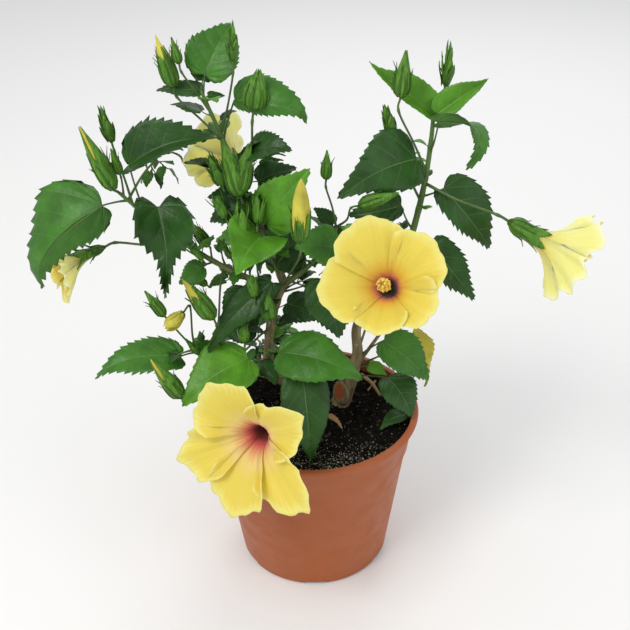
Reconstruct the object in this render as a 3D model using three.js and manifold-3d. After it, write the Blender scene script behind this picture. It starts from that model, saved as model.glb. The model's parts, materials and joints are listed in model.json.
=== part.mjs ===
// A yellow-flowered hibiscus shrub in its plastic nursery pot. Millimetres, +Z up, origin at the
// centre of the pot's flat underside. Compass angles are seen from above: 0 points to +X (the right),
// 90 to +Y (the back), 180 to the left and -90 to the front. A rise is the angle above level.
import * as THREE from 'three';
import { mergeVertices } from 'three/addons/utils/BufferGeometryUtils.js';
import Module from 'manifold-3d';

const wasm = await Module();
wasm.setup();

// ---- driving dimensions -------------------------------------------------------------------------
const GAP = 0.3; // clearance between pieces that touch
const POT_SEGMENTS = 28;
const POT = { height: 152, rim: 95, neck: 91.6, base: 68, wall: 2.2, floor: 6 };
const LIP = { height: 4.4, round: 1 }; // the thickened edge round the rim
const STEP = { below: 35, high: 1.8, out: 1.4 }; // the stacking step under the rim band
const CHANNEL = { count: 6, width: 20, deep: 4, inner: 46 }; // drainage channels under the floor
const DRAIN = { radius: 3.5, at: 55, sides: 8 };
const SOIL = { top: 141, bump: 1.6, rings: [22, 44, 64, 80], calm: 24 };
const LIMB_SIDES = 8;
const LIMB_STEPS = 5;
const STALK = 1.1; // half the thickness of a leaf stalk
const BLADE = { thick: 1.6, edge: 0.8, inset: 0.8 }; // a leaf pad at its midrib and at its margin

const COLOURS = {
  terracotta: 0xa05a3b,
  soil: 0x1f1a12,
  bark: 0x7d734e,
  greenwood: 0x55702f,
  leaf: 0x3f7a2b,
  brightLeaf: 0x5a9a2c,
  darkLeaf: 0x33602c,
  yellowLeaf: 0x9a9d43,
  bud: 0x6f9438,
  petal: 0xe4cc52,
};

// ---- limbs: foot (a point, or a parent and how far along it), reach to the tip, sideways bow -----
const LIMBS = [
  { name: 'trunk', foot: [22, 20, 130], reach: [16, -10, 62], bow: [2, 0, 0],
    girth: [8.5, 6], flare: 2 },
  { name: 'left_stem', foot: [4, 22, 130], reach: [-42, -22, 58], bow: [0, 0, 5],
    girth: [5.5, 4], flare: 1.5 },
  { name: 'right_stem', on: 'trunk', at: 0.96, reach: [60, 0, 229], bow: [14, 0, 0],
    girth: [4.2, 1.6] },
  { name: 'centre_stem', on: 'left_stem', at: 0.97, reach: [16, 4, 92], bow: [-6, 0, 0],
    girth: [4, 3.2] },
  { name: 'centre_leader', on: 'centre_stem', at: 0.97, reach: [-58, 6, 164], bow: [0, 4, 0],
    girth: [2.8, 1.3] },
  { name: 'left_bough', on: 'centre_stem', at: 0.9, reach: [-125, -12, 98], bow: [0, 0, -12],
    girth: [2.6, 1.4] },
  { name: 'low_left_bough', on: 'left_stem', at: 0.92, reach: [-66, -18, 40], bow: [0, 0, -4],
    girth: [3, 1.8] },
  { name: 'middle_shoot', on: 'centre_stem', at: 0.95, reach: [46, 2, 52], bow: [4, 0, -4],
    girth: [2.4, 1.4] },
  { name: 'back_bough_right', on: 'right_stem', at: 0.22, reach: [4, 48, 6], bow: [0, 0, 4],
    girth: [2.4, 1.6] },
  { name: 'back_bough_centre', on: 'centre_leader', at: 0.16, reach: [-10, 42, -2], bow: [0, 0, 4],
    girth: [2.2, 1.5] },
  { name: 'back_bough_low', on: 'left_stem', at: 0.66, reach: [-20, 34, 12], bow: [0, 0, 3],
    girth: [2.4, 1.6] },
];
const WOODY = ['trunk', 'left_stem', 'centre_stem', 'low_left_bough'];

// ---- foliage: each thin mass is a stalk, then a blade, both as [compass, rise, length] -----------
// face is the way the upper side looks, arch how far the midrib bows that way, fold the angle by
// which the two halves rise from the midrib.
const forward = [-90, 35];
const BLADES = [
  { name: 'crown_left', on: 'centre_leader', at: 0.98, stalk: [50, 55, 9], blade: [50, 46, 46],
    width: 48, face: [-90, 42], arch: 4, fold: 10, colour: 'brightLeaf' },
  { name: 'upper_arch', on: 'centre_leader', at: 0.76, stalk: [-10, 70, 29], blade: [-15, -8, 64],
    width: 40, face: [-90, 45], arch: 12, fold: 22, colour: 'leaf' },
  { name: 'upper_left', on: 'left_bough', at: 0.84, stalk: [-130, 78, 46], blade: [0, 18, 70],
    width: 60, face: forward, arch: 7, fold: 24, colour: 'darkLeaf' },
  { name: 'upper_centre', on: 'centre_leader', at: 0.5, stalk: [-60, 72, 35], blade: [-25, 14, 39],
    width: 28, face: [-90, 60], arch: 5, fold: 15, colour: 'darkLeaf' },
  { name: 'centre_bright', on: 'centre_leader', at: 0.33, stalk: [-70, 20, 24], blade: [-10, 54, 60],
    width: 42, face: forward, arch: 4, fold: 8, colour: 'brightLeaf' },
  { name: 'far_left', on: 'left_bough', at: 0.94, stalk: [-155, 4, 16], blade: [180, -49, 98],
    width: 80, face: [-120, 35], arch: 16, fold: 6, colour: 'leaf' },
  { name: 'left_hanging', on: 'left_bough', at: 0.8, stalk: [-62, 46, 25], blade: [-105, -67, 72],
    width: 54, face: [-80, 20], arch: 5, fold: 24, colour: 'darkLeaf' },
  { name: 'centre_front', on: 'centre_leader', at: 0.04, stalk: [-125, 62, 60], blade: [-120, -22, 42],
    width: 52, face: [-70, 60], arch: 4, fold: 22, colour: 'brightLeaf' },
  { name: 'centre_dark', on: 'centre_leader', at: 0.4, stalk: [-120, 42, 12], blade: [-172, -20, 38],
    width: 30, face: [-90, 55], arch: 4, fold: 10, colour: 'darkLeaf' },
  { name: 'inner_dark', on: 'centre_leader', at: 0.1, stalk: [-45, 55, 26], blade: [120, 55, 38],
    width: 36, face: [-70, 30], arch: 4, fold: 10, colour: 'darkLeaf' },
  { name: 'middle_front', on: 'middle_shoot', at: 0.75, stalk: [-70, 15, 26], blade: [-165, 12, 38],
    width: 38, face: [-90, 50], arch: 5, fold: 10, colour: 'leaf' },
  { name: 'right_dark', on: 'right_stem', at: 0.78, stalk: [-155, 57, 17], blade: [-155, -16, 72],
    width: 56, face: [-80, 30], arch: 7, fold: 8, colour: 'darkLeaf' },
  { name: 'right_inner', on: 'right_stem', at: 0.57, stalk: [150, 58, 22], blade: [180, -10, 44],
    width: 34, face: forward, arch: 4, fold: 8, colour: 'darkLeaf' },
  { name: 'top_right_inner', on: 'right_stem', at: 0.96, stalk: [-110, 76, 9], blade: [160, 32, 60],
    width: 32, face: [-90, 55], arch: 4, fold: 15, colour: 'brightLeaf' },
  { name: 'top_right_outer', on: 'right_stem', at: 0.98, stalk: [-70, 43, 9], blade: [-5, 37, 47],
    width: 30, face: [-90, 55], arch: -3, fold: 15, colour: 'brightLeaf' },
  { name: 'right_arch', on: 'right_stem', at: 0.87, stalk: [-72, 64, 30], blade: [-45, -45, 44],
    width: 38, face: [0, 30], arch: 21, fold: 12, colour: 'leaf' },
  { name: 'right_outer', on: 'right_stem', at: 0.7, stalk: [-5, 21, 18], blade: [-5, -52, 66],
    width: 46, face: [-80, 30], arch: 7, fold: 8, colour: 'darkLeaf' },
  { name: 'right_low_outer', on: 'right_stem', at: 0.46, stalk: [10, 21, 25], blade: [-21, -49, 60],
    width: 36, face: [-80, 30], arch: 5, fold: 8, colour: 'darkLeaf' },
  { name: 'low_left_outer', on: 'low_left_bough', at: 0.94, stalk: [-175, -15, 15], blade: [-169, -7, 75],
    width: 44, face: [-90, 60], arch: 7, fold: 8, colour: 'leaf' },
  { name: 'low_left_bright', on: 'low_left_bough', at: 0.3, stalk: [-86, 50, 34], blade: [-153, -23, 68],
    width: 50, face: [-90, 55], arch: 7, fold: 8, colour: 'brightLeaf' },
  { name: 'low_centre', on: 'centre_stem', at: 0.32, stalk: [-72, 20, 36], blade: [-17, -11, 74],
    width: 46, face: [-90, 55], arch: 11, fold: 8, colour: 'leaf' },
  { name: 'front_hanging', on: 'left_stem', at: 0.7, stalk: [-68, 42, 62], blade: [-80, -60, 80],
    width: 42, face: [-80, 25], arch: 5, fold: 14, colour: 'darkLeaf' },
  { name: 'centre_low', on: 'centre_stem', at: 0.87, stalk: [-26, 38, 42], blade: [-50, -66, 52],
    width: 48, face: [-85, 25], arch: 4, fold: 8, colour: 'darkLeaf' },
  { name: 'left_inner', on: 'centre_stem', at: 0.8, stalk: [-108, 62, 26], blade: [-160, -43, 82],
    width: 36, face: [-60, 50], arch: 5, fold: 12, colour: 'darkLeaf' },
  { name: 'low_right', on: 'right_stem', at: 0.03, stalk: [-25, 38, 30], blade: [-14, -40, 55],
    width: 38, face: [-80, 40], arch: 6, fold: 8, colour: 'leaf' },
  { name: 'low_right_yellowing', on: 'trunk', at: 0.93, stalk: [19, 20, 60], blade: [-28, -72, 56],
    width: 26, face: [-20, 20], arch: 3, fold: 8, colour: 'yellowLeaf' },
  { name: 'rim_right', on: 'trunk', at: 0.75, stalk: [-28, 10, 36], blade: [-50, -40, 40],
    width: 34, face: [-60, 40], arch: 5, fold: 8, colour: 'darkLeaf' },
];
const BLADE_STATIONS = [0, 0.08, 0.21, 0.38, 0.57, 0.76, 0.91];

// ---- buds on the crown's outline: stalk and bud as [compass, rise, length], and the bud's width --
const BUDS = [
  { name: 'upper_left', on: 'centre_leader', at: 0.74, stalk: [180, 52, 58],
    bud: [-170, 76, 41], width: 15 },
  { name: 'top', on: 'centre_leader', at: 0.78, stalk: [-30, 76, 62],
    bud: [0, 88, 31], width: 9 },
  { name: 'upper_right', on: 'right_stem', at: 0.79, stalk: [-147, 67, 73],
    bud: [0, 85, 35], width: 14 },
  { name: 'top_right', on: 'right_stem', at: 0.98, stalk: [45, 62, 27],
    bud: [0, 86, 34], width: 11 },
  { name: 'left_tall', on: 'left_bough', at: 0.91, stalk: [172, 78, 53],
    bud: [180, 80, 29], width: 11 },
  { name: 'left_large', on: 'left_bough', at: 0.98, stalk: [-127, 45, 8],
    bud: [-162, 70, 57], width: 20 },
  { name: 'middle', on: 'middle_shoot', at: 0.97, stalk: [-155, 79, 46],
    bud: [0, 88, 24], width: 9 },
  { name: 'centre_yellow', on: 'centre_stem', at: 0.92, stalk: [-70, 53, 82],
    bud: [-66, 85, 54], width: 16 },
  { name: 'low_left', on: 'low_left_bough', at: 0.9, stalk: [-158, 58, 52],
    bud: [-162, 62, 29], width: 11 },
  { name: 'low_left_yellow', on: 'low_left_bough', at: 0.8, stalk: [-124, -24, 43],
    bud: [-158, 63, 48], width: 16 },
];
// A bud's thickness along its length, as shares of the two
const BUD_SIDES = 5;
const BUD_SHAPE = [[0, 0.2], [0.06, 0.6], [0.2, 0.95], [0.42, 1], [0.65, 0.74], [0.85, 0.36]];

// ---- blooms: stalk to the calyx, the way the bloom faces, its depth and the reach of its petals --
const BLOOMS = [
  { name: 'right_open', on: 'right_stem', at: 0.4, stalk: [-102, 18, 51], axis: [-106, 35],
    deep: 48, reach: 49, lower: 0, lobes: 3 },
  { name: 'front_open', on: 'left_stem', at: 0.62, stalk: [-97, 15, 87], axis: [-118, 15],
    deep: 50, reach: 57, lower: 8, lobes: 3 },
  { name: 'far_right', on: 'right_stem', at: 0.75, stalk: [-35, -15, 78], axis: [-5, -30],
    deep: 59, reach: 42, lower: 0, lobes: 2 },
  { name: 'far_left', on: 'left_bough', at: 0.64, stalk: [163, -12.5, 71], axis: [-147, -6],
    deep: 47, reach: 25, lower: 0, lobes: 2 },
  { name: 'back', on: 'centre_leader', at: 0.54, stalk: [100, 45, 24], axis: [137, 10],
    deep: 42, reach: 34, lower: 0, lobes: 2 },
];
// A bloom's outline, then its hollow, as [share of the depth, share of the reach]
const BLOOM_OUTSIDE = [[0.1, 0.13], [0.34, 0.16], [0.55, 0.24], [0.74, 0.48], [0.9, 0.8], [1, 1]];
const BLOOM_INSIDE = [[1.03, 0.96], [0.95, 0.76], [0.8, 0.42], [0.66, 0.16]];

// ---- dense masses of leaves at the back: the way they grow, their size across and upwards, and
// the bare share of their length where only a bunch of stalks shows --------------------------------
const MASSES = [
  { name: 'back_right', on: 'back_bough_right', at: 0.86, grow: [90, -24, 84], across: 86, high: 62,
    bare: 0.07, seed: 1 },
  { name: 'back_centre', on: 'back_bough_centre', at: 0.84, grow: [92, -28, 66], across: 66, high: 52,
    bare: 0.07, seed: 2 },
  { name: 'back_left', on: 'left_bough', at: 0.74, grow: [104, 38, 88], across: 44, high: 32,
    bare: 0.4, seed: 3 },
  { name: 'back_low', on: 'back_bough_low', at: 0.8, grow: [105, -4, 62], across: 84, high: 30,
    bare: 0.07, seed: 4 },
  { name: 'back_upper_right', on: 'right_stem', at: 0.76, grow: [133, -6, 76], across: 44, high: 32,
    bare: 0.34, seed: 5 },
];
const MASS_SHAPE = [[0, 0.14], [0.14, 0.66], [0.34, 0.96], [0.54, 1], [0.74, 0.82], [0.9, 0.46]];
const MASS_STALK = [0.04, 0.1];
const MASS_SIDES = 9;

// ---- small helpers ------------------------------------------------------------------------------
const vec = (xyz) => new THREE.Vector3(...xyz);

function aim([compass, rise]) {
  const a = THREE.MathUtils.degToRad(compass);
  const b = THREE.MathUtils.degToRad(rise);
  return new THREE.Vector3(Math.cos(b) * Math.cos(a), Math.cos(b) * Math.sin(a), Math.sin(b));
}

// The part of a direction that is square to an axis, at unit length
function square(direction, axis) {
  return direction.clone().addScaledVector(axis, -direction.dot(axis)).normalize();
}

// A repeatable number from -1 to 1 for each pair of whole numbers
function wobble(i, j) {
  const s = Math.sin(i * 127.1 + j * 311.7) * 43758.5453;
  return 2 * (s - Math.floor(s)) - 1;
}

// A closed skin over rings of equally many points, closed by a fan to a point at each end
function skin(rings, first, last) {
  const sides = rings[0].length;
  const points = [first, ...rings.flat(), last];
  const faces = [];
  const at = (ring, k) => 1 + ring * sides + (k % sides);
  for (let k = 0; k < sides; k++) {
    faces.push(0, at(0, k + 1), at(0, k));
    for (let r = 0; r + 1 < rings.length; r++) {
      faces.push(at(r, k), at(r, k + 1), at(r + 1, k + 1));
      faces.push(at(r, k), at(r + 1, k + 1), at(r + 1, k));
    }
    faces.push(points.length - 1, at(rings.length - 1, k), at(rings.length - 1, k + 1));
  }
  const geometry = new THREE.BufferGeometry().setFromPoints(points);
  geometry.setIndex(faces);
  return geometry;
}

function toSolid(geometry) {
  const bare = geometry.clone();
  bare.deleteAttribute('normal');
  bare.deleteAttribute('uv');
  const merged = mergeVertices(bare, 1e-4);
  const make = (triVerts) => new wasm.Manifold(new wasm.Mesh({
    numProp: 3, vertProperties: new Float32Array(merged.attributes.position.array), triVerts,
  }));
  const faces = new Uint32Array(merged.index.array);
  const solid = make(faces);
  return solid.volume() > 0 ? solid : make(faces.toReversed());
}

function toGeometry(solid) {
  const parts = solid.decompose();
  const main = parts.reduce((a, b) => (b.volume() > a.volume() ? b : a));
  const mesh = main.getMesh();
  const geometry = new THREE.BufferGeometry();
  geometry.setAttribute('position', new THREE.BufferAttribute(mesh.vertProperties, mesh.numProp));
  geometry.setIndex(new THREE.BufferAttribute(mesh.triVerts, 1));
  return geometry;
}

// ---- pot and soil -------------------------------------------------------------------------------
const stepAt = POT.height - STEP.below;
const wallSlope = (POT.neck - STEP.out - POT.base) / POT.height;
const wallAt = (z) => POT.base + wallSlope * z + (z > stepAt ? STEP.out : 0);

function potSolid() {
  const { height, rim, wall, floor } = POT;
  const lipFoot = height - LIP.height;
  const profile = [
    [0, 0], [POT.base - 2, 0], [wallAt(2), 2],
    [wallAt(stepAt), stepAt], [wallAt(stepAt + STEP.high), stepAt + STEP.high],
    [wallAt(lipFoot), lipFoot], [rim - LIP.round, lipFoot], [rim, lipFoot + LIP.round],
    [rim, height - LIP.round], [rim - LIP.round, height],
    [wallAt(height) - wall, height],
    [wallAt(stepAt + STEP.high) - wall, stepAt + STEP.high], [wallAt(stepAt) - wall, stepAt - STEP.high],
    [wallAt(floor + 2) - wall, floor + 2], [wallAt(floor) - wall - 2, floor], [0, floor],
  ];
  const lathe = new THREE.LatheGeometry(profile.map(([r, z]) => new THREE.Vector2(r, z)), POT_SEGMENTS);
  let pot = toSolid(lathe.rotateX(Math.PI / 2));
  const long = POT.base - CHANNEL.inner + 4;
  for (let i = 0; i < CHANNEL.count; i++) {
    const turn = -Math.PI / 2 + (i * 2 * Math.PI) / CHANNEL.count;
    const channel = new THREE.BoxGeometry(long, CHANNEL.width, 2 * CHANNEL.deep);
    channel.translate(CHANNEL.inner + long / 2, 0, 0).rotateZ(turn);
    const drain = new THREE.CylinderGeometry(DRAIN.radius, DRAIN.radius, 2 * floor + 4, DRAIN.sides);
    drain.rotateX(Math.PI / 2).translate(DRAIN.at, 0, 0).rotateZ(turn);
    pot = pot.subtract(toSolid(channel)).subtract(toSolid(drain));
  }
  return pot;
}

function soilSolid() {
  const feet = LIMBS.filter((limb) => limb.foot).map((limb) => vec(limb.foot));
  const inside = (z) => wallAt(z) - POT.wall - GAP;
  const low = POT.floor + GAP;
  const outline = [
    [inside(low) - 2, low], [inside(low + 2), low + 2],
    [inside(stepAt) - 0.4, stepAt - STEP.high - GAP],
    [inside(stepAt + STEP.high) - 0.4, stepAt + STEP.high],
    [inside(SOIL.top) - 0.4, SOIL.top - 2],
    ...SOIL.rings.toReversed().map((r) => [r, SOIL.top]),
  ];
  const rings = outline.map(([r, z], i) => Array.from({ length: POT_SEGMENTS }, (_, k) => {
    const turn = -Math.PI / 2 + (k * 2 * Math.PI) / POT_SEGMENTS;
    const point = new THREE.Vector3(r * Math.cos(turn), r * Math.sin(turn), z);
    const away = Math.min(...feet.map((foot) => Math.hypot(point.x - foot.x, point.y - foot.y)));
    if (z === SOIL.top && away > SOIL.calm) point.z += SOIL.bump * wobble(i, k);
    return point;
  }));
  return toSolid(skin(rings, new THREE.Vector3(0, 0, low), new THREE.Vector3(0, 0, SOIL.top)));
}

// ---- limbs --------------------------------------------------------------------------------------
const limbs = new Map();

function pointOn(limb, t) {
  return limb.start.clone().addScaledVector(limb.reach, t).addScaledVector(limb.bow, 4 * t * (1 - t));
}

const girthOn = (limb, t) =>
  THREE.MathUtils.lerp(...limb.girth, t) + (limb.flare ?? 0) * Math.exp(-t / 0.16);

function limbSkin(limb, grow) {
  const rings = [];
  for (let i = 0; i <= LIMB_STEPS; i++) {
    const t = i / LIMB_STEPS;
    const centre = pointOn(limb, t);
    const along = pointOn(limb, t + 0.01).sub(pointOn(limb, t - 0.01)).normalize();
    const side = square(new THREE.Vector3(0, 1, 0), along);
    const other = along.clone().cross(side);
    rings.push(Array.from({ length: LIMB_SIDES }, (_, k) => {
      const turn = (k * 2 * Math.PI) / LIMB_SIDES;
      const reach = girthOn(limb, t) + grow;
      return centre.clone().addScaledVector(side, reach * Math.cos(turn))
        .addScaledVector(other, reach * Math.sin(turn));
    }));
  }
  const tip = pointOn(limb, 1).addScaledVector(limb.reach.clone().normalize(), 0.5 * limb.girth[1] + grow);
  return toSolid(skin(rings, limb.start, tip));
}

for (const spec of LIMBS) {
  const parent = limbs.get(spec.on);
  const start = parent ? pointOn(parent, spec.at) : vec(spec.foot);
  const limb = { ...spec, start, reach: vec(spec.reach), bow: vec(spec.bow) };
  limb.swollen = limbSkin(limb, GAP);
  limbs.set(spec.name, limb);
}

// Everything above the soil is trimmed clear of it; each piece is trimmed clear of what carries it
const ground = toSolid(new THREE.BoxGeometry(400, 400, 200).translate(0, 0, SOIL.top + GAP - 100));

function limbSolid(limb) {
  let solid = limbSkin(limb, 0).subtract(ground);
  for (const other of limbs.values()) {
    if (other === limb) break;
    solid = solid.subtract(other.swollen);
  }
  return solid;
}

// ---- foliage, buds and blooms -------------------------------------------------------------------
const bladeWidth = (s) => Math.sin(Math.PI * s ** 0.62) ** 0.95;

function bladeSolid(spec) {
  const limb = limbs.get(spec.on);
  const start = pointOn(limb, spec.at);
  const base = start.clone().addScaledVector(aim(spec.stalk), spec.stalk[2]);
  const forwards = aim(spec.blade);
  const face = square(aim(spec.face), forwards);
  const right = forwards.clone().cross(face);
  const fold = THREE.MathUtils.degToRad(spec.fold);
  const ring = (centre, along, half, thick, rise) => {
    const side = square(right, along);
    const top = side.clone().cross(along);
    const place = (across, lift) =>
      centre.clone().addScaledVector(side, across).addScaledVector(top, lift);
    const low = BLADE.inset;
    return [place(-half, rise + thick), place(0, thick), place(half, rise + thick),
      place(low * half, low * rise - thick), place(0, -1.4 * thick),
      place(-low * half, low * rise - thick)];
  };
  const rings = [0.08, 0.5].map((t) =>
    ring(start.clone().lerp(base, t), aim(spec.stalk), STALK, STALK / 2, 0));
  for (const s of BLADE_STATIONS) {
    const half = Math.max(STALK, (spec.width / 2) * bladeWidth(s));
    const middle = base.clone().addScaledVector(forwards, spec.blade[2] * s)
      .addScaledVector(face, spec.arch * 4 * s * (1 - s));
    const along = forwards.clone().multiplyScalar(spec.blade[2])
      .addScaledVector(face, spec.arch * 4 * (1 - 2 * s)).normalize();
    const thick = THREE.MathUtils.lerp(BLADE.thick, BLADE.edge, s) / 2;
    rings.push(ring(middle, along, half * Math.cos(fold), thick, half > STALK ? half * Math.sin(fold) : 0));
  }
  const tip = base.clone().addScaledVector(forwards, spec.blade[2]);
  return toSolid(skin(rings, start, tip)).subtract(limb.swollen);
}

// Round rings about a straight line, from shares of its length and of a thickness
function turned(from, axis, length, shape, radius, sides, lobe = () => 1) {
  const side = square(new THREE.Vector3(0, 0.2, 1), axis);
  const other = axis.clone().cross(side);
  return shape.map(([s, share]) => Array.from({ length: sides }, (_, k) => {
    const turn = (k * 2 * Math.PI) / sides;
    const reach = radius * share * lobe(k, share);
    return from.clone().addScaledVector(axis, length * s)
      .addScaledVector(side, reach * Math.cos(turn)).addScaledVector(other, reach * Math.sin(turn));
  }));
}

function budSolid(spec) {
  const limb = limbs.get(spec.on);
  const start = pointOn(limb, spec.at);
  const base = start.clone().addScaledVector(aim(spec.stalk), spec.stalk[2]);
  const stalk = turned(start, aim(spec.stalk), spec.stalk[2], [[0.05, 1], [0.9, 1]], STALK, BUD_SIDES);
  const bud = turned(base, aim(spec.bud), spec.bud[2], BUD_SHAPE, spec.width / 2, BUD_SIDES);
  const tip = base.clone().addScaledVector(aim(spec.bud), spec.bud[2]);
  return toSolid(skin([...stalk, ...bud], start, tip)).subtract(limb.swollen);
}

function bloomSolid(spec) {
  const limb = limbs.get(spec.on);
  const start = pointOn(limb, spec.at);
  const calyx = start.clone().addScaledVector(aim(spec.stalk), spec.stalk[2]);
  const axis = aim(spec.axis);
  const sides = 5 * spec.lobes;
  const lobe = (k, share) => (k % spec.lobes === 0 ? 1 - 0.28 * share : 1);
  const stalk = turned(start, aim(spec.stalk), spec.stalk[2], [[0.04, 1], [0.92, 1]], 1.4, sides);
  const petals = [...BLOOM_OUTSIDE, ...BLOOM_INSIDE];
  const rings = turned(calyx, axis, spec.deep, petals, spec.reach, sides, lobe);
  rings.forEach((ring, i) => ring.forEach((point) => { point.z -= spec.lower * petals[i][1]; }));
  const throat = calyx.clone().addScaledVector(axis, 0.6 * spec.deep);
  return toSolid(skin([...stalk, ...rings], start, throat)).subtract(limb.swollen);
}

function massSolid(spec) {
  const limb = limbs.get(spec.on);
  const start = pointOn(limb, spec.at);
  const axis = aim(spec.grow);
  const across = square(new THREE.Vector3(1, 0, 0), axis);
  const high = axis.clone().cross(across);
  const leafy = MASS_SHAPE.map(([s, share]) => [THREE.MathUtils.lerp(spec.bare, 1, s), share]);
  const rings = [MASS_STALK, ...leafy].map(([s, share], i) => Array.from({ length: MASS_SIDES }, (_, k) => {
    const turn = (k * 2 * Math.PI) / MASS_SIDES;
    const uneven = 1 + 0.16 * wobble(i + 7 * spec.seed, k);
    const along = s + (share > 0.2 ? 0.03 * wobble(k, i + spec.seed) : 0);
    return start.clone().addScaledVector(axis, spec.grow[2] * along)
      .addScaledVector(across, (spec.across / 2) * share * uneven * Math.cos(turn))
      .addScaledVector(high, (spec.high / 2) * share * uneven * Math.sin(turn));
  }));
  const tip = start.clone().addScaledVector(axis, spec.grow[2]);
  return toSolid(skin(rings, start, tip)).subtract(limb.swollen);
}

// ---- the plant ----------------------------------------------------------------------------------
const plant = new THREE.Group();

function add(name, solid, colour, roughness) {
  const material = new THREE.MeshStandardMaterial({ color: COLOURS[colour], roughness, metalness: 0 });
  const mesh = new THREE.Mesh(toGeometry(solid), material);
  mesh.name = name;
  plant.add(mesh);
}

add('pot', potSolid(), 'terracotta', 0.5);
add('soil', soilSolid(), 'soil', 0.95);
for (const limb of limbs.values()) {
  add(limb.name, limbSolid(limb), WOODY.includes(limb.name) ? 'bark' : 'greenwood', 0.8);
}
for (const spec of BLADES) add(`foliage_${spec.name}`, bladeSolid(spec), spec.colour, 0.5);
for (const spec of MASSES) add(`foliage_${spec.name}`, massSolid(spec), 'leaf', 0.6);
for (const spec of BUDS) add(`bud_${spec.name}`, budSolid(spec), 'bud', 0.5);
for (const spec of BLOOMS) add(`bloom_${spec.name}`, bloomSolid(spec), 'petal', 0.6);

export default plant;
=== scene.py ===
import json
import math
import random

import bmesh
import bpy
from bpy.props import FloatProperty, FloatVectorProperty, IntProperty, PointerProperty
from mathutils import Matrix, Vector, noise


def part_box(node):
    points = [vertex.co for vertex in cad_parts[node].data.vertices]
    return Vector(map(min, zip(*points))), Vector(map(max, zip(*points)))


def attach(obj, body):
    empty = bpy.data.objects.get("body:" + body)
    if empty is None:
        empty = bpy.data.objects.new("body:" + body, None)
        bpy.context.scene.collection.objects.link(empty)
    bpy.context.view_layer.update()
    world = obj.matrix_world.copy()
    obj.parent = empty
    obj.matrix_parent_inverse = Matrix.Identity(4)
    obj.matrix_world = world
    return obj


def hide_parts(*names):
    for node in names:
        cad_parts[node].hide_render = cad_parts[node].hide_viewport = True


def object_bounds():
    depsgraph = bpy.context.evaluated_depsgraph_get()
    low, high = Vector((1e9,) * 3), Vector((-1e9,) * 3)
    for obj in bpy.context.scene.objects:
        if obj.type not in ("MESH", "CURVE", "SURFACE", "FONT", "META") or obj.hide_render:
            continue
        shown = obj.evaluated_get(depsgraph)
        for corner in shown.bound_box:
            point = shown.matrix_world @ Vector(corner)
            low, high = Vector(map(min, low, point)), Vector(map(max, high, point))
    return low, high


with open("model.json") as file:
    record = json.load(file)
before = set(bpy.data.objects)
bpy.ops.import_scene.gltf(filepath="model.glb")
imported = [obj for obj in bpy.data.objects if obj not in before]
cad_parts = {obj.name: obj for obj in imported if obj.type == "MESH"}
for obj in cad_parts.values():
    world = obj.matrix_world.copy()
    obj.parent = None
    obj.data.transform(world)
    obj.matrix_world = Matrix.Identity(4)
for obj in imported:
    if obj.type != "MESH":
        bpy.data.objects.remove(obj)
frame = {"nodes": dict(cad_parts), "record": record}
CAD_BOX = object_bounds()

bl_info = {
    "name": "Potted hibiscus",
    "version": (1, 0, 0),
    "blender": (4, 5, 0),
    "location": "View3D > Sidebar > Hibiscus",
    "description": "Builds the leaves, bark, buds, blooms, pot and stage round the hibiscus frame",
    "category": "Add Mesh",
}

MM = 0.001
WELD = 2e-6
UP = Vector((0, 0, 1))
SLOT_OF = {part["node"]: part["material_slot"] for part in frame["record"]["subparts"]}

# How the frame's solids are lofted: how many sides, and where along the length their rings stand
LIMB_SIDES, LIMB_STEPS = 8, 5
BLADE_SIDES, BLADE_STATIONS = 6, (0.91, 0.76, 0.57, 0.38, 0.21, 0.08, 0.0)
BUD_SIDES, BUD_BASE_RING, BUD_STALK_SHARE = 5, 5, 0.9
WIDE_BLOOMS, BLOOM_SIDES, WIDE_BLOOM_SIDES = ("bloom_right_open", "bloom_front_open"), 10, 15
# Rings of a bloom's solid: number from the throat back, share of its depth, share of its reach
RIM_RING, WAIST_RING, FOOT_RING = (4, 1.0, 1.0), (8, 0.34, 0.16), (9, 0.1, 0.13)
BLOOM_STALK_RING, BLOOM_STALK_SHARE = 10, 0.92


def nodes_of(prefix):
    return sorted(node for node in SLOT_OF if node.startswith(prefix))


BACK_MASSES = nodes_of("foliage_back")
LEAF_NODES = [node for node in nodes_of("foliage_") if node not in BACK_MASSES]


# ---- small helpers ------------------------------------------------------------------------------
def aim(compass, rise):
    """A unit step: compass 0 is to the right, 90 to the back; rise is the angle above level."""
    a, b = math.radians(compass), math.radians(rise)
    return Vector((math.cos(b) * math.cos(a), math.cos(b) * math.sin(a), math.sin(b)))


def step_of(polar):
    """A step given as (compass, rise, millimetres)."""
    return aim(*polar[:2]) * polar[2] * MM


def square(direction, axis):
    """The part of a direction that is square to an axis, at unit length."""
    axis = axis.normalized()
    return (direction - axis * direction.dot(axis)).normalized()


def around(way, hint=Vector((0.3, 0.5, 1))):
    """Two unit steps that are square to a way and to each other."""
    side = square(hint, way)
    return side, way.cross(side)


def spoke(side, other, turn):
    return side * math.cos(turn) + other * math.sin(turn)


def lerp(a, b, t):
    return a + (b - a) * t


def blend_of(first, second, share):
    """A colour part of the way from one to another."""
    return tuple(lerp(a, b, share) for a, b in zip(first, second))


def clamp(x, low=0.0, high=1.0):
    return min(max(x, low), high)


def smooth_step(low, high, x):
    t = clamp((x - low) / (high - low))
    return t * t * (3 - 2 * t)


def through(knots, values, at):
    """A smooth curve through values that stand at rising knots."""
    i = 0
    while i < len(knots) - 2 and at > knots[i + 1]:
        i += 1

    def slope(k):
        a, b = max(k - 1, 0), min(k + 1, len(knots) - 1)
        return (values[b] - values[a]) / (knots[b] - knots[a])

    span = knots[i + 1] - knots[i]
    t = (at - knots[i]) / span
    return (
        values[i] * ((1 + 2 * t) * (1 - t) ** 2)
        + slope(i) * (span * t * (1 - t) ** 2)
        + values[i + 1] * (t * t * (3 - 2 * t))
        + slope(i + 1) * (span * t * t * (t - 1))
    )


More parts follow.
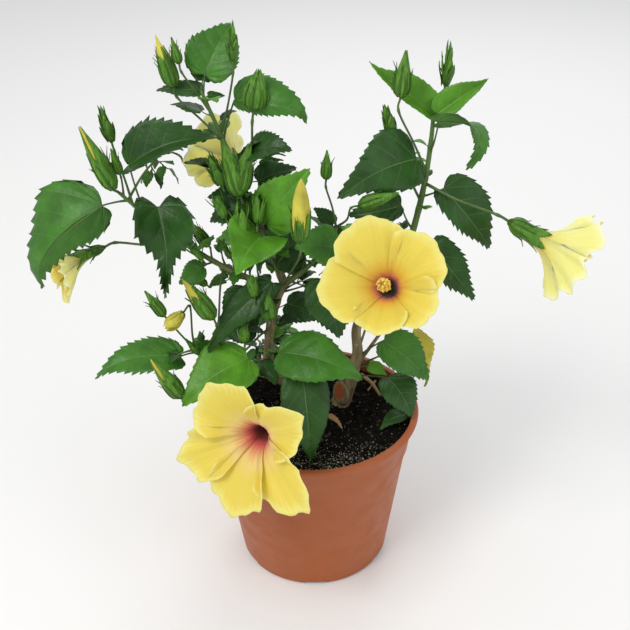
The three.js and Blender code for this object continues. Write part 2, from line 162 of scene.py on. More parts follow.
def parabola(knots, values, at):
    """The parabola through three values."""
    total = values[0] * 0
    for i, value in enumerate(values):
        weight = 1.0
        for k, knot in enumerate(knots):
            if k != i:
                weight *= (at - knot) / (knots[i] - knot)
        total = total + value * weight
    return total


# ---- reading the frame --------------------------------------------------------------------------
def in_order(ring):
    """The corners of one closed loop in order round it, or None if they aren't one."""
    walk = [min(ring, key=lambda v: v.index)]
    while len(walk) < len(ring):
        near = [e.other_vert(walk[-1]) for e in walk[-1].link_edges]
        onward = [v for v in near if v in ring and v not in walk]
        if not onward:
            return None
        walk.append(min(onward, key=lambda v: v.index))
    return walk


def rings_of(node, sides):
    """The end pole of a lofted solid and its rings from there back, for as far as they are whole."""
    bm = bmesh.new()
    bm.from_mesh(frame["nodes"][node].data)
    bmesh.ops.remove_doubles(bm, verts=bm.verts, dist=WELD)
    bm.verts.index_update()
    best = (None, [])
    for pole in [v for v in bm.verts if len(v.link_edges) == sides]:
        seen, level, rings = {pole}, {pole}, []
        while True:
            level = {e.other_vert(v) for v in level for e in v.link_edges} - seen
            walk = in_order(level) if len(level) == sides else None
            if not walk:
                break
            seen |= level
            rings.append([v.co.copy() for v in walk])
        if len(rings) > len(best[1]):
            best = (pole.co.copy(), rings)
    bm.free()
    return best


def middle(ring):
    return sum(ring, Vector()) / len(ring)


# Sideways bends that the limbs have besides their frame's curve
LEANS = {
    "right_stem": lambda t: -0.016 * math.sin(math.pi * clamp(t / 0.38)) ** 2,
    "back_bough_right": lambda t: -0.016 * (1 - smooth_step(0, 0.6, t)),
}


class Limb:
    """A stem or bough's centre line and girth, worked out from the whole rings of its solid."""

    def __init__(self, node):
        rings = rings_of(node, LIMB_SIDES)[1]
        picks = (0, len(rings) // 2, len(rings) - 1)
        self.knots = [1 - i / LIMB_STEPS for i in picks]
        self.centres = [middle(rings[i]) for i in picks]
        girths = [(rings[i][0] - self.centres[k]).length for k, i in enumerate(picks)]
        self.tip_girth = girths[0]
        self.taper = (girths[1] - girths[0]) / (1 - self.knots[1])
        self.lean = LEANS.get(node, lambda t: 0.0)
        self.joints = []

    def point(self, t):
        return parabola(self.knots, self.centres, t) + Vector((self.lean(t), 0, 0))

    def along(self, t):
        return (self.point(t + 0.01) - self.point(t - 0.01)).normalized()

    def radius(self, t):
        return self.tip_girth + self.taper * (1 - t)

    def length(self):
        return sum((self.point((i + 1) / 8) - self.point(i / 8)).length for i in range(8))


NOT_LIMBS = ("foliage_", "bud_", "bloom_", "pot", "soil")
LIMBS = {name: Limb(name) for name in sorted(frame["nodes"]) if not name.startswith(NOT_LIMBS)}
SEARCH_FROM, SEARCH_STEPS = 0.05, 60


def nearest_on_limbs(point):
    """(limb, share along it) of the place on the limbs that is closest to a point."""
    found = []
    for name, limb in LIMBS.items():
        for i in range(SEARCH_STEPS + 1):
            t = lerp(SEARCH_FROM, 1, i / SEARCH_STEPS)
            found.append(((limb.point(t) - point).length, name, t))
    _, name, t = min(found)
    return LIMBS[name], t


GROWN_ARCH, GROWN_FOLD = 0.05, math.radians(12)


class Blade:
    """A leaf's stalk and blade: where it starts, its base, tip, upper side, width, bow and fold."""

    def __init__(self, start, base, tip, up, width, bow, fold):
        self.start, self.base, self.tip = start, base, tip
        self.width, self.bow, self.fold = width, bow, fold
        self.reach = tip - base
        self.up = square(up, self.reach)
        self.side = self.reach.normalized().cross(self.up)

    @classmethod
    def grown(cls, start, stalk, blade, face, width):
        """A new leaf from polar steps (compass, rise, millimetres)."""
        base = start + step_of(stalk)
        reach = step_of(blade)
        up = square(aim(*face), reach)
        bow = up * GROWN_ARCH * reach.length
        return cls(start, base, base + reach, up, width * MM, bow, GROWN_FOLD)

    @classmethod
    def of_node(cls, node):
        """The leaf that a foliage pad stands for."""
        tip, rings = rings_of(node, BLADE_SIDES)
        corners = []
        for ring in rings:
            widest = max(range(BLADE_SIDES), key=lambda i: (ring[i] - ring[(i + 2) % BLADE_SIDES]).length)
            corners.append([ring[(widest + k) % BLADE_SIDES] for k in (1, 0, 2, 4)])
        near, far, widest = (BLADE_STATIONS.index(station) for station in (0.08, 0.57, 0.38))
        knots = (1, BLADE_STATIONS[far], BLADE_STATIONS[near])
        base, mid = (parabola(knots, (tip, corners[far][0], corners[near][0]), y) for y in (0, 0.5))
        if len(rings) > len(BLADE_STATIONS):
            start = base + 2 * (middle(rings[len(BLADE_STATIONS)]) - base)
        else:
            limb, t = nearest_on_limbs(base)
            start = limb.point(t)
        top, one, other, keel = corners[widest]
        across = (one - other).length
        rise = ((one + other) / 2 - top).dot(square(top - keel, tip - base))
        fold = math.atan2(rise, across / 2)
        width = across / math.cos(fold)
        return cls(start, base, tip, top - keel, width, mid - (base + tip) / 2, fold)

    def midrib(self, y):
        return self.base + self.reach * y + self.bow * (4 * y * (1 - y))

    def along(self, y):
        return (self.reach + self.bow * (4 * (1 - 2 * y))).normalized()


# ---- making meshes ------------------------------------------------------------------------------
def sheet(bm, rows, columns, place, finish=lambda i, j: 0, mark=None):
    """A patch of rows x columns faces with its corner (i, j) moved to place(i, j)."""
    layer = bm.loops.layers.uv.verify() if mark else None
    made = bmesh.ops.create_grid(bm, x_segments=columns, y_segments=rows, size=1)["verts"]

    def cell(co, add):
        return int((co.y + 1) / 2 * rows + add), int((co.x + 1) / 2 * columns + add)

    for face in {f for v in made for f in v.link_faces}:
        face.material_index = finish(*cell(face.calc_center_median(), 0))
        face.smooth = True
        if mark:
            for loop in face.loops:
                loop[layer].uv = mark(*cell(loop.vert.co, 0.5))
    for v in made:
        v.co = place(*cell(v.co, 0.5))
    return made


def tube(bm, rings, sides, finish=0):
    """A closed tube through rings of (centre, along, radius), where radius may depend on the turn."""
    reference = Vector((0.13, 0.21, 1)) if abs(rings[0][1].z) < 0.9 else Vector((1, 0.2, 0.1))
    frames = []
    side = square(reference, rings[0][1])
    for centre, along, radius in rings:
        side = square(side, along)
        frames.append((centre, side, along.cross(side), radius))
    last = len(rings) - 1

    def place(i, j):
        centre, one, two, radius = frames[clamp(i - 1, 0, last)]
        if i in (0, last + 2):
            return centre
        turn = j % sides / sides * math.tau
        reach = radius(turn) if callable(radius) else radius
        return centre + one * (reach * math.cos(turn)) + two * (reach * math.sin(turn))

    def cell(i, j):
        return finish(clamp(i - 1, 0, last), j) if callable(finish) else finish

    return sheet(bm, last + 2, sides, place, cell)


THINNEST, GLANCE = 0.0001, 0.02


def bend(points, radii, steps):
    """Rings for tube() along a smooth line through points, with radii spread evenly along it."""
    knots = [i / (len(points) - 1) for i in range(len(points))]
    weights = [i / (len(radii) - 1) for i in range(len(radii))]
    rings = []
    for i in range(steps + 1):
        t = i / steps
        ahead, behind = min(t + GLANCE, 1), max(t - GLANCE, 0)
        along = (through(knots, points, ahead) - through(knots, points, behind)).normalized()
        rings.append((through(knots, points, t), along, max(through(weights, radii, t), THINNEST)))
    return rings


def welded(bm, outward=True):
    """Joins what meets in a mesh; outward turns the faces of closed shapes outwards."""
    bmesh.ops.remove_doubles(bm, verts=bm.verts, dist=WELD)
    bmesh.ops.dissolve_degenerate(bm, edges=bm.edges, dist=WELD)
    if outward:
        bmesh.ops.recalc_face_normals(bm, faces=bm.faces)


def new_object(name, bm):
    """An object in the scene, made of a mesh that is done with."""
    mesh = bpy.data.meshes.new(name)
    bm.to_mesh(mesh)
    bm.free()
    made = bpy.data.objects.new(name, mesh)
    bpy.context.scene.collection.objects.link(made)
    return made


def piece(name, bm, finishes, nodes=()):
    """Makes an object of a finished mesh and sets it on the frame."""
    made = new_object(name, bm)
    for finish in finishes:
        made.data.materials.append(finish)
    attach(made, "root")
    if nodes:
        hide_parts(*nodes)
    return made


def thicken(made, thickness, undersides=0):
    """Gives an open sheet its thickness; its underside's finishes stand that many places further on."""
    solid = made.modifiers.new("Thickness", "SOLIDIFY")
    solid.thickness = thickness
    solid.offset = -1
    solid.use_even_offset = False
    solid.material_offset = undersides


# ---- finishes -----------------------------------------------------------------------------------
class Value:
    """A number in a material; sums on it add Math nodes."""

    def __init__(self, finish, socket):
        self.finish, self.socket = finish, socket

    def sum(self, operation, first, second):
        made = self.finish.node("ShaderNodeMath", {"operation": operation}, {0: first, 1: second})
        return Value(self.finish, made.outputs[0])

    def __add__(self, other):
        return self.sum("ADD", self, other)

    def __radd__(self, other):
        return self.sum("ADD", other, self)

    def __sub__(self, other):
        return self.sum("SUBTRACT", self, other)

    def __rsub__(self, other):
        return self.sum("SUBTRACT", other, self)

    def __mul__(self, other):
        return self.sum("MULTIPLY", self, other)

    def __rmul__(self, other):
        return self.sum("MULTIPLY", other, self)


class Finish:
    """A material being put together round one Principled shader."""

    def __init__(self, name, sockets):
        self.material = bpy.data.materials.new(name)
        self.material.use_nodes = True
        self.tree = self.material.node_tree
        self.tree.nodes.clear()
        self.shader = self.node("ShaderNodeBsdfPrincipled", {}, sockets)
        self.node("ShaderNodeOutputMaterial", {}, {"Surface": self.shader.outputs[0]})
        self.object_space = self.node("ShaderNodeTexCoord").outputs["Object"]
        self.uv = self.node("ShaderNodeTexCoord").outputs["UV"]

    def node(self, kind, settings=None, sockets=None):
        """A node of a kind, with its settings made first and then its sockets set or linked."""
        made = self.tree.nodes.new(kind)
        for name, value in (settings or {}).items():
            if name == "stops":
                ramp = made.color_ramp
                while len(ramp.elements) < len(value):
                    ramp.elements.new(1)
                for element, (position, colour) in zip(ramp.elements, value):
                    element.position = position
                    element.color = (*colour, 1)
            else:
                setattr(made, name, value)
        for name, value in (sockets or {}).items():
            self.put(made.inputs[name], value)
        return made

    def put(self, socket, value):
        if isinstance(value, Value):
            value = value.socket
        if isinstance(value, bpy.types.NodeSocket):
            self.tree.links.new(value, socket)
        elif hasattr(value, "__len__") and len(value) == 3 and socket.type == "RGBA":
            socket.default_value = (*value, 1)
        else:
            socket.default_value = value

    def noise(self, scale, detail=2.0, stretch=None, space=None):
        vector = space or self.object_space
        if stretch:
            vector = self.node("ShaderNodeMapping", {}, {"Vector": vector, "Scale": stretch}).outputs[0]
        sockets = {"Vector": vector, "Scale": scale, "Detail": detail}
        return Value(self, self.node("ShaderNodeTexNoise", {}, sockets).outputs["Fac"])

    def band(self, value, low, high, to_low=0.0, to_high=1.0):
        """value stretched so that low gives to_low and high gives to_high, and no further."""
        made = self.node("ShaderNodeMapRange", {"clamp": True},
                         {"Value": value, 1: low, 2: high, 3: to_low, 4: to_high})
        return Value(self, made.outputs[0])

    def mix(self, first, second, factor):
        made = self.node("ShaderNodeMix", {"data_type": "RGBA"}, {0: factor, 6: first, 7: second})
        return made.outputs[2]

    def mottled(self, colour, dark, light, value, low, high):
        """A colour from its dark to its light shade, as value goes from low to high."""
        return self.mix(shade(colour, dark), shade(colour, light), self.band(value, low, high))

    def relief(self, height, strength, distance):
        sockets = {"Height": height, "Strength": strength, "Distance": distance}
        self.put(self.shader.inputs["Normal"], self.node("ShaderNodeBump", {}, sockets).outputs[0])

    def set(self, **values):
        for name, value in values.items():
            self.put(self.shader.inputs[name.replace("_", " ").title()], value)
        return self.material


def shade(colour, factor):
    """A colour made lighter or darker."""
    return tuple(clamp(c * factor) for c in colour)


def linear(red, green, blue):
    """A linear colour from screen values of 0 to 255."""
    return tuple(((c / 255 + 0.055) / 1.055) ** 2.4 if c > 10 else c / 255 / 12.92
                 for c in (red, green, blue))


def leaf_finish(name, colour, roughness):
    """Leathery green, blotched and finely grained."""
    finish = Finish(name, {"Roughness": roughness, "Specular IOR Level": 0.28})
    blotch = finish.noise(55, 3)
    fine = finish.noise(300, 3)
    base = finish.mottled(colour, 0.74, 1.22, blotch, 0.32, 0.68)
    finish.relief(fine + blotch * 1.4, 0.4, 0.0011)
    return finish.set(base_color=finish.mix(base, shade(colour, 0.8), finish.band(fine, 0.62, 0.8, 0, 0.5)),
                      roughness=finish.band(fine, 0.3, 0.7, roughness - 0.06, roughness + 0.08))


def sepal_finish(name, colour, dark):
    """Pale green with dark streaks that run up it."""
    finish = Finish(name, {"Roughness": 0.5, "Specular IOR Level": 0.28})
    streak = finish.noise(70, 3, stretch=(7.0, 7.0, 0.7))
    cloud = finish.band(finish.noise(60, 2), 0.45, 0.7, 0, 0.7)
    finish.relief(streak, 0.4, 0.0008)
    streaked = finish.mix(dark, colour, finish.band(streak, 0.36, 0.56))
    return finish.set(base_color=finish.mix(streaked, shade(colour, 0.7), cloud))


def stem_finish(name, colour, roughness=0.5):
    """Plain skin of stalks, veins, chips and cuts, a little uneven in tone."""
    finish = Finish(name, {"Roughness": roughness})
    streak = finish.noise(90, 3)
    finish.relief(streak, 0.25, 0.0004)
    return finish.set(base_color=finish.mottled(colour, 0.78, 1.2, streak, 0.3, 0.72))


def bark_finish(name, bark, green):
    """Grey-brown bark that gives way to green skin where the wood attribute falls."""
    finish = Finish(name, {"Roughness": 0.8})
    grain = finish.noise(70, 5, stretch=(3.0, 3.0, 0.5))
    spots = finish.noise(240, 2)
    old = finish.mottled(bark, 0.5, 1.35, grain, 0.32, 0.68)
    old = finish.mix(old, shade(bark, 1.75), finish.band(spots, 0.66, 0.74, 0, 0.7))
    young = finish.mottled(green, 0.8, 1.2, finish.noise(60, 2), 0.3, 0.7)
    wood = Value(finish, finish.node("ShaderNodeAttribute", {"attribute_name": "wood"}).outputs["Fac"])
    woody = finish.band(wood + (grain - 0.5) * 0.5, 0.35, 0.65)
    finish.relief(grain + spots * 0.3, 0.6, 0.0012)
    return finish.set(base_color=finish.mix(young, old, woody),
                      roughness=finish.band(woody, 0, 1, 0.5, 0.85))


def petal_finish(name, tips, body, heart, halo, throat, stops, streaks, glow=0.4):
    """Petal colours from the throat out, read along the petal, with veins that run down its length."""
    finish = Finish(name, {"Roughness": 0.55, "Sheen Weight": 0.15, "Subsurface Weight": glow,
                           "Subsurface Scale": 0.003, "Subsurface Radius": (1.0, 0.85, 0.5)})
    along = Value(finish, finish.node("ShaderNodeSeparateXYZ", {}, {0: finish.uv}).outputs[1])
    vein = finish.noise(9, 3, stretch=(5.5, 0.35, 1), space=finish.uv)
    colours = zip(stops, (throat, throat, halo, heart, body, body, tips))
    ramp = finish.node("ShaderNodeValToRGB", {"stops": list(colours)},
                       {"Fac": along + (vein - 0.5) * streaks})
    finish.relief(vein, 0.4, 0.0014)
    return finish.set(base_color=finish.mix(ramp.outputs[0], heart, finish.band(vein, 0.52, 0.74, 0, 0.3)))


def plastic_finish(name, colour):
    """Moulded terracotta-coloured plastic, a little faded and scuffed."""
    finish = Finish(name, {"Roughness": 0.5, "Specular IOR Level": 0.4})
    cloud = finish.noise(9, 4)
    speck = finish.noise(420, 2)
    scuff = finish.noise(46, 5, stretch=(1, 1, 1.6))
    base = finish.mottled(colour, 0.94, 1.07, cloud, 0.3, 0.7)
    base = finish.mix(base, shade(colour, 1.35), finish.band(scuff, 0.68, 0.8, 0, 0.4))
    finish.relief(speck + cloud * 0.4, 0.12, 0.0004)
    return finish.set(base_color=base, roughness=finish.band(scuff, 0.4, 0.75, 0.45, 0.68))


def soil_finish(name, colour, light):
    """Dark, rough mix with pale specks."""
    finish = Finish(name, {"Roughness": 0.95, "Specular IOR Level": 0.12})
    grit = finish.noise(300, 5)
    base = finish.mottled(colour, 0.45, 1.5, grit, 0.35, 0.7)
    finish.relief(grit + finish.noise(40, 3), 0.9, 0.0015)
    specks = finish.band(finish.noise(700, 1), 0.72, 0.78, 0, 0.4)
    return finish.set(base_color=finish.mix(base, light, specks))


def perlite_finish(name, dark, light):
    finish = Finish(name, {"Roughness": 0.9})
    return finish.set(base_color=finish.mix(dark, light, finish.band(finish.noise(900, 2), 0.35, 0.6)))


# ---- what a user would change -------------------------------------------------------------------
def length_property(name, description, default):
    return FloatProperty(name=name, description=description, default=default, unit="LENGTH", precision=5)


def colour_property(name, description, *screen):
    return FloatVectorProperty(name=name, description=description, default=linear(*screen), size=3,
                               min=0, max=1, subtype="COLOR")


class HIBISCUS_PG_sizes(bpy.types.PropertyGroup):
    """Sizes of the plant and pot"""

    leaf_thickness: length_property("Leaf thickness", "Thickness of a leaf blade", 0.0004)
    petal_thickness: length_property("Petal thickness", "Thickness of a petal", 0.0005)
    sepal_thickness: length_property("Sepal thickness", "Thickness of a bud's sepals", 0.0004)
    calyx_thickness: length_property("Calyx thickness", "Thickness of a bloom's calyx", 0.0005)
    stalk: length_property("Stalk radius", "Radius of a leaf stalk at its foot", 0.00085)
    tooth: FloatProperty(name="Tooth size", description="Reach of a leaf's teeth, as a share of its length",
                         default=0.04, subtype="FACTOR")
    wall: length_property("Pot wall", "Thickness of the pot's wall", 0.0022)
    lip: length_property("Pot lip", "Height of the pot's rolled lip", 0.0044)
    step_below: length_property("Stacking step", "How far the step stands below the rim", 0.035)
    crumbs: IntProperty(name="Crumbs", description="Loose crumbs on the soil", default=900, min=0)
    perlite: IntProperty(name="Perlite", description="Pale grains on the soil", default=9500, min=0)


class HIBISCUS_PG_colours(bpy.types.PropertyGroup):
    """Colours of the plant and pot"""

    leaf: colour_property("Leaf", "Full-grown leaf", 58, 110, 30)
    leaf_bright: colour_property("Young leaf", "Young, bright leaf", 80, 136, 30)
    leaf_dark: colour_property("Old leaf", "Dark leaf", 36, 74, 22)
    leaf_yellow: colour_property("Yellowing leaf", "Leaf about to fall", 170, 160, 48)
    bark: colour_property("Bark", "Woody stems", 140, 124, 90)
    green_wood: colour_property("Green wood", "Young stems and stalks", 78, 108, 48)
    bud: colour_property("Bud", "Calyx of a bud", 74, 118, 34)
    petal: colour_property("Petal", "Petals", 222, 197, 74)
    pot: colour_property("Pot", "Pot", 160, 84, 40)
    soil: colour_property("Soil", "Potting mix", 17, 14, 9)


def choices(context):
    """The sizes and colours that are set in the panel."""
    return context.scene.hibiscus_sizes, context.scene.hibiscus_colours


# ---- pot and soil -------------------------------------------------------------------------------
def round_profile(bm, profile, segments):
    """Spins a profile of (radius, height) about the pot's axis."""
    corners = [bm.verts.new((r, 0, z)) for r, z in profile]
    edges = [bm.edges.new(pair) for pair in zip(corners, corners[1:])]
    bmesh.ops.spin(bm, geom=corners + edges, axis=(0, 0, 1), cent=(0, 0, 0), angle=math.tau,
                   steps=segments, use_merge=True)
    welded(bm)


POT_SEGMENTS, SOIL_SEGMENTS = 144, 180
POT_FLOOR, POT_BASE, POT_NECK = 0.006, 0.068, 0.0916
STEP_HIGH, STEP_OUT = 0.0018, 0.0014
FOOT_ROUND, LIP_ROUND, LIP_INSET, LIP_TOP_INSET = 0.002, 0.0012, 0.0006, 0.001
SHARP_FROM, SHADED_SHARP_FROM, EDGE_ROUND = math.radians(25), math.radians(35), 0.0005
CHANNELS, CHANNEL_WIDTH, CHANNEL_DEEP, CHANNEL_INNER = 6, 0.020, 0.004, 0.046
DRAIN_RADIUS, DRAIN_AT = 0.0035, 0.055
CUT_BEYOND, DRAIN_CUT = 0.004, 0.03


def pot_wall(z, height, step_at):
    slope = (POT_NECK - STEP_OUT - POT_BASE) / height
    return POT_BASE + slope * z + (STEP_OUT if z > step_at else 0)


class HIBISCUS_OT_pot(bpy.types.Operator):
    """The nursery pot: tapered wall, stacking step, rolled lip, drainage channels and holes"""

    bl_idname = "hibiscus.pot"
    bl_label = "Pot"

    def execute(self, context):
        sizes, colours = choices(context)
        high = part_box("pot")[1]
        rim, height, wall = high.x, high.z, sizes.wall
        step_at, lip_foot = height - sizes.step_below, height - sizes.lip

        def out(z):
            return pot_wall(z, height, step_at)

        profile = [
            (0, 0), (POT_BASE - FOOT_ROUND, 0), (out(FOOT_ROUND), FOOT_ROUND),
            (out(step_at), step_at), (out(step_at + STEP_HIGH), step_at + STEP_HIGH),
            (out(lip_foot), lip_foot), (rim - LIP_INSET, lip_foot), (rim, lip_foot + LIP_ROUND),
            (rim, height - LIP_ROUND), (rim - LIP_TOP_INSET, height), (out(height) - wall, height),
            (out(step_at + STEP_HIGH) - wall, step_at + STEP_HIGH),
            (out(step_at) - wall, step_at - STEP_HIGH),
            (out(POT_FLOOR + FOOT_ROUND) - wall, POT_FLOOR + FOOT_ROUND),
            (out(POT_FLOOR) - wall - FOOT_ROUND, POT_FLOOR), (0, POT_FLOOR),
        ]
        bm = bmesh.new()
        round_profile(bm, profile, POT_SEGMENTS)
        sharp = [e for e in bm.edges if len(e.link_faces) == 2 and e.calc_face_angle() > SHARP_FROM]
        bmesh.ops.bevel(bm, geom=sharp, offset=EDGE_ROUND, segments=2, profile=0.5, affect="EDGES",
                        material=-1)
        # Faces of the inner wall above the floor take the second finish, which paints in the shade that
        # falls inside the pot
        for face in bm.faces:
            face.smooth = True
            spot = face.calc_center_median()
            within = math.hypot(spot.x, spot.y) < out(spot.z) - wall * 0.9
            face.material_index = 1 if within and spot.z > POT_FLOOR * 0.9 else 0
        plastic = plastic_finish("Terracotta plastic", colours.pot)
        # The pot colour at half brightness: painted shade on the inner wall
        inner_shade_plastic = plastic_finish("Terracotta plastic with painted inner shade", shade(colours.pot, 0.5))
        shell = piece("pot_shell", bm, [plastic, inner_shade_plastic], ["pot"])
        for shapes in ("channels", "holes"):
            cutter = self.cutter(shapes)
            cut = shell.modifiers.new(shapes, "BOOLEAN")
            cut.operation, cut.solver, cut.object = "DIFFERENCE", "EXACT", cutter
            context.view_layer.update()
            whole = bpy.data.meshes.new_from_object(shell.evaluated_get(context.evaluated_depsgraph_get()))
            shell.modifiers.clear()
            shell.data = whole
            bpy.data.objects.remove(cutter)
        whole.name = "pot_shell"
        whole.set_sharp_from_angle(angle=SHADED_SHARP_FROM)
        return {"FINISHED"}

    def cutter(self, shapes):
        """What is cut out of the pot's underside: the channels, or the holes above them."""
        bm = bmesh.new()
        for i in range(CHANNELS):
            turn = Matrix.Rotation(-math.pi / 2 + i * math.tau / CHANNELS, 4, "Z")
            if shapes == "channels":
                long = POT_BASE - CHANNEL_INNER + CUT_BEYOND
                at = turn @ Matrix.Translation((CHANNEL_INNER + long / 2, 0, 0))
                shape = Matrix.Diagonal((long, CHANNEL_WIDTH, 2 * CHANNEL_DEEP, 1))
                bmesh.ops.create_cube(bm, size=1, matrix=at @ shape)
            else:
                bmesh.ops.create_cone(bm, cap_ends=True, segments=24, radius1=DRAIN_RADIUS,
                                      radius2=DRAIN_RADIUS, depth=DRAIN_CUT,
                                      matrix=turn @ Matrix.Translation((DRAIN_AT, 0, 0)))
        return new_object(shapes, bm)


SOIL_CLEAR, SOIL_ROUND, SOIL_LAP, SOIL_RING = 0.0004, 0.003, 0.0006, 0.0021
SOIL_DIP, SOIL_SKIN, SOIL_EDGE = 0.0016, 0.001, 0.012
# The lumps of the soil, as how close together they lie and how high they stand in millimetres
LUMPS = ((45, 1.7), (130, 1.1), (420, 0.5))
MOUND_HIGH, MOUND_WIDE, MOUND_AT = 2.4, 0.016, 0.15
WATERED_FROM, WATERED_TO = -0.03, -0.08


def soil_height(x, y, top):
    """The lumpy top of the soil, drawn up a little round each stem."""
    here = Vector((x, y, 0))
    lumps = sum(noise.noise(here * close) * high for close, high in LUMPS)
    for name in ROOT_FLARE:
        foot = LIMBS[name].point(MOUND_AT)
        near = math.hypot(x - foot.x, y - foot.y)
        lumps += MOUND_HIGH * math.exp(-(near / MOUND_WIDE) ** 2)
    return top + lumps * MM


class HIBISCUS_OT_soil(bpy.types.Operator):
    """The potting mix: a lumpy top with loose crumbs, bark chips and pale perlite grains"""

    bl_idname = "hibiscus.soil"
    bl_label = "Soil"

    def execute(self, context):
        sizes, colours = choices(context)
        rng = random.Random(11)
        low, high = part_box("soil")
        top, rim = high.z - SOIL_DIP, high.x - 0.0002
        soil = soil_finish("Potting mix", colours.soil, linear(150, 146, 132))
        chip = stem_finish("Bark chips", linear(52, 38, 24), 0.85)
        perlite = perlite_finish("Perlite", linear(128, 124, 98), linear(196, 193, 172))
        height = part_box("pot")[1].z
        step_at = height - sizes.step_below

        def inside(z):
            return pot_wall(z, height, step_at) - sizes.wall - SOIL_CLEAR

        profile = [(0, low.z), (inside(low.z) - SOIL_ROUND, low.z),
                   (inside(low.z + SOIL_ROUND), low.z + SOIL_ROUND),
                   (inside(step_at - SOIL_ROUND) - SOIL_LAP, step_at - SOIL_ROUND),
                   (inside(top) - SOIL_LAP, top - SOIL_ROUND)]
        profile += [(rim - 0.0012 - i * SOIL_RING, top) for i in range(int(rim / SOIL_RING))] + [(0, top)]
        bm = bmesh.new()
        round_profile(bm, profile, SOIL_SEGMENTS)
        for v in bm.verts:
            if v.co.z > top - SOIL_SKIN:
                edge = smooth_step(rim, rim - SOIL_EDGE, math.hypot(v.co.x, v.co.y))
                v.co.z = lerp(top, soil_height(v.co.x, v.co.y, top), clamp(edge, 0.35, 1))
        for face in bm.faces:
            face.smooth = True
        piece("soil_bed", bm, [soil], ["soil"])
        for name, count, size, finishes, odd, away in (
            ("soil_crumbs", sizes.crumbs, (0.0008, 0.0026), [soil, chip], 0.2, 1.0),
            ("perlite_grains", sizes.perlite, (0.0002, 0.0006), [perlite], 0, 0.05),
        ):
            bm = bmesh.new()
            self.scatter(bm, rng, count, rim, top, size, odd, away)
            piece(name, bm, finishes)
        return {"FINISHED"}

    def scatter(self, bm, rng, count, rim, top, size, odd, away):
        """Grains over the soil, some in an odd finish; away is how thinly they lie off its watered side."""
        for _ in range(count):
            reach, turn = (rim - SOIL_ROUND) * math.sqrt(rng.random()), rng.uniform(0, math.tau)
            x, y = reach * math.cos(turn), reach * math.sin(turn)
            if rng.random() > lerp(away, 1, smooth_step(WATERED_FROM, WATERED_TO, y)):
                continue
            r = rng.uniform(*size) * (0.55 + 0.45 * rng.random())
            place = (Matrix.Translation((x, y, soil_height(x, y, top) + r * 0.25))
                     @ Matrix.Rotation(rng.uniform(0, math.tau), 4, "Z")
                     @ Matrix.Rotation(rng.uniform(-0.6, 0.6), 4, "X")
                     @ Matrix.Diagonal((rng.uniform(0.8, 1.7) * r, r, rng.uniform(0.5, 0.9) * r, 1)))
            made = bmesh.ops.create_icosphere(bm, subdivisions=1, radius=1, matrix=place)["verts"]
            index = 1 if rng.random() < odd else 0
            for v in made:
                v.co += Vector([rng.uniform(-0.22, 0.22) * r for _ in range(3)])
            for face in {f for v in made for f in v.link_faces}:
                face.material_index = index


# Twigs on the soil: ends, arch of the middle, radii, steps and sides. Leaves: base, tip, width, tint
LITTER_TWIGS = (
    ((0.047, 0.053, 0.006), (0.063, 0.025, 0.0012), (0.001, 0, 0.002), (0.0019, 0.0013), 10, 9),
    ((0.060, 0.046, 0.0035), (0.052, 0.034, 0.001), (0, 0, 0), (0.0011, 0.0008), 6, 7),
)
LITTER_LEAVES = (
    ((0.083, -0.008, 0.0035), (0.059, -0.028, 0.0022), 0.014, "dark"),
    ((0.014, -0.007, 0.0035), (0.027, -0.025, 0.0022), 0.0055, "bright"),
)


class HIBISCUS_OT_litter(bpy.types.Operator):
    """What lies on the soil: a pruned twig, a dry scale and a young leaf that has dropped"""

    bl_idname = "hibiscus.litter"
    bl_label = "Litter"

    def execute(self, context):
        sizes, colours = choices(context)
        rng = random.Random(31)
        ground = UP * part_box("soil")[1].z
        twigs, leaves = bmesh.new(), bmesh.new()
        for first, last, arch, radii, steps, sides in LITTER_TWIGS:
            first, last = Vector(first) + ground, Vector(last) + ground
            tube(twigs, bend([first, lerp(first, last, 0.5) + Vector(arch), last], radii, steps), sides)
        welded(twigs)
        piece("litter_twig", twigs, [stem_finish("Dry wood", linear(164, 138, 98), 0.8)])
        for first, last, width, tint in LITTER_LEAVES:
            first, last = Vector(first) + ground, Vector(last) + ground
            blade = Blade(first, first, last, Vector((0.2, -0.3, 1)), width, UP * 0.003, 0.3)
            add_leaf(leaves, blade, small_look(rng, 8), sizes.tooth, TINTS.index(tint))
        welded(leaves, outward=False)
        finishes = leaf_finishes(colours)
        dry = stem_finish("Dry scale", linear(172, 128, 88), 0.7)
        finishes[LEAF_BRIGHT] = finishes[LEAF_BRIGHT + UNDERSIDES] = dry
        thicken(piece("litter_leaves", leaves, finishes), sizes.leaf_thickness, UNDERSIDES)
        return {"FINISHED"}


# ---- stems --------------------------------------------------------------------------------------
# How woody each limb is at its foot and at its tip, and how far its foot spreads
WOODINESS = {
    "trunk": (1.1, 1.0), "left_stem": (1.1, 1.0), "centre_stem": (1.0, 0.75),
    "low_left_bough": (0.95, 0.35), "right_stem": (1.0, -0.4), "left_bough": (0.7, -0.1),
    "centre_leader": (0.7, -0.2), "middle_shoot": (0.6, -0.1), "back_bough_right": (0.7, 0.2),
    "back_bough_centre": (0.55, 0.1), "back_bough_low": (0.9, 0.4),
}
ROOT_FLARE, FOOT_FLARE = {"trunk": 0.0026, "left_stem": 0.0018}, 0.0009
# How far the collar of a joint stands out, as a share of the limb, and its width
COLLAR, COLLAR_WIDE = 0.14, 0.003
# A stub, as shares of its length and radius, up to its dished cut; stubs are taller than they are wide
STUB_SHAPE, STUB_TALL = ((0, 1.25), (0.4, 1.08), (0.75, 1.0), (0.97, 1.02), (1.0, 0.86), (0.985, 0.7)), 1.8
PRUNED = [
    # limb, share along it, compass, rise, length and radius of the stub, in millimetres
    ("trunk", 0.4, -122, 20, 7.5, 6.4),
    ("trunk", 0.62, -60, 30, 7, 2.8),
    ("trunk", 0.8, 8, 40, 34, 1.2),
    ("trunk", 0.92, 40, 52, 26, 1.0),
    ("left_stem", 0.5, -20, 40, 8, 2.4),
    ("centre_stem", 0.22, 30, 35, 6, 1.8),
]


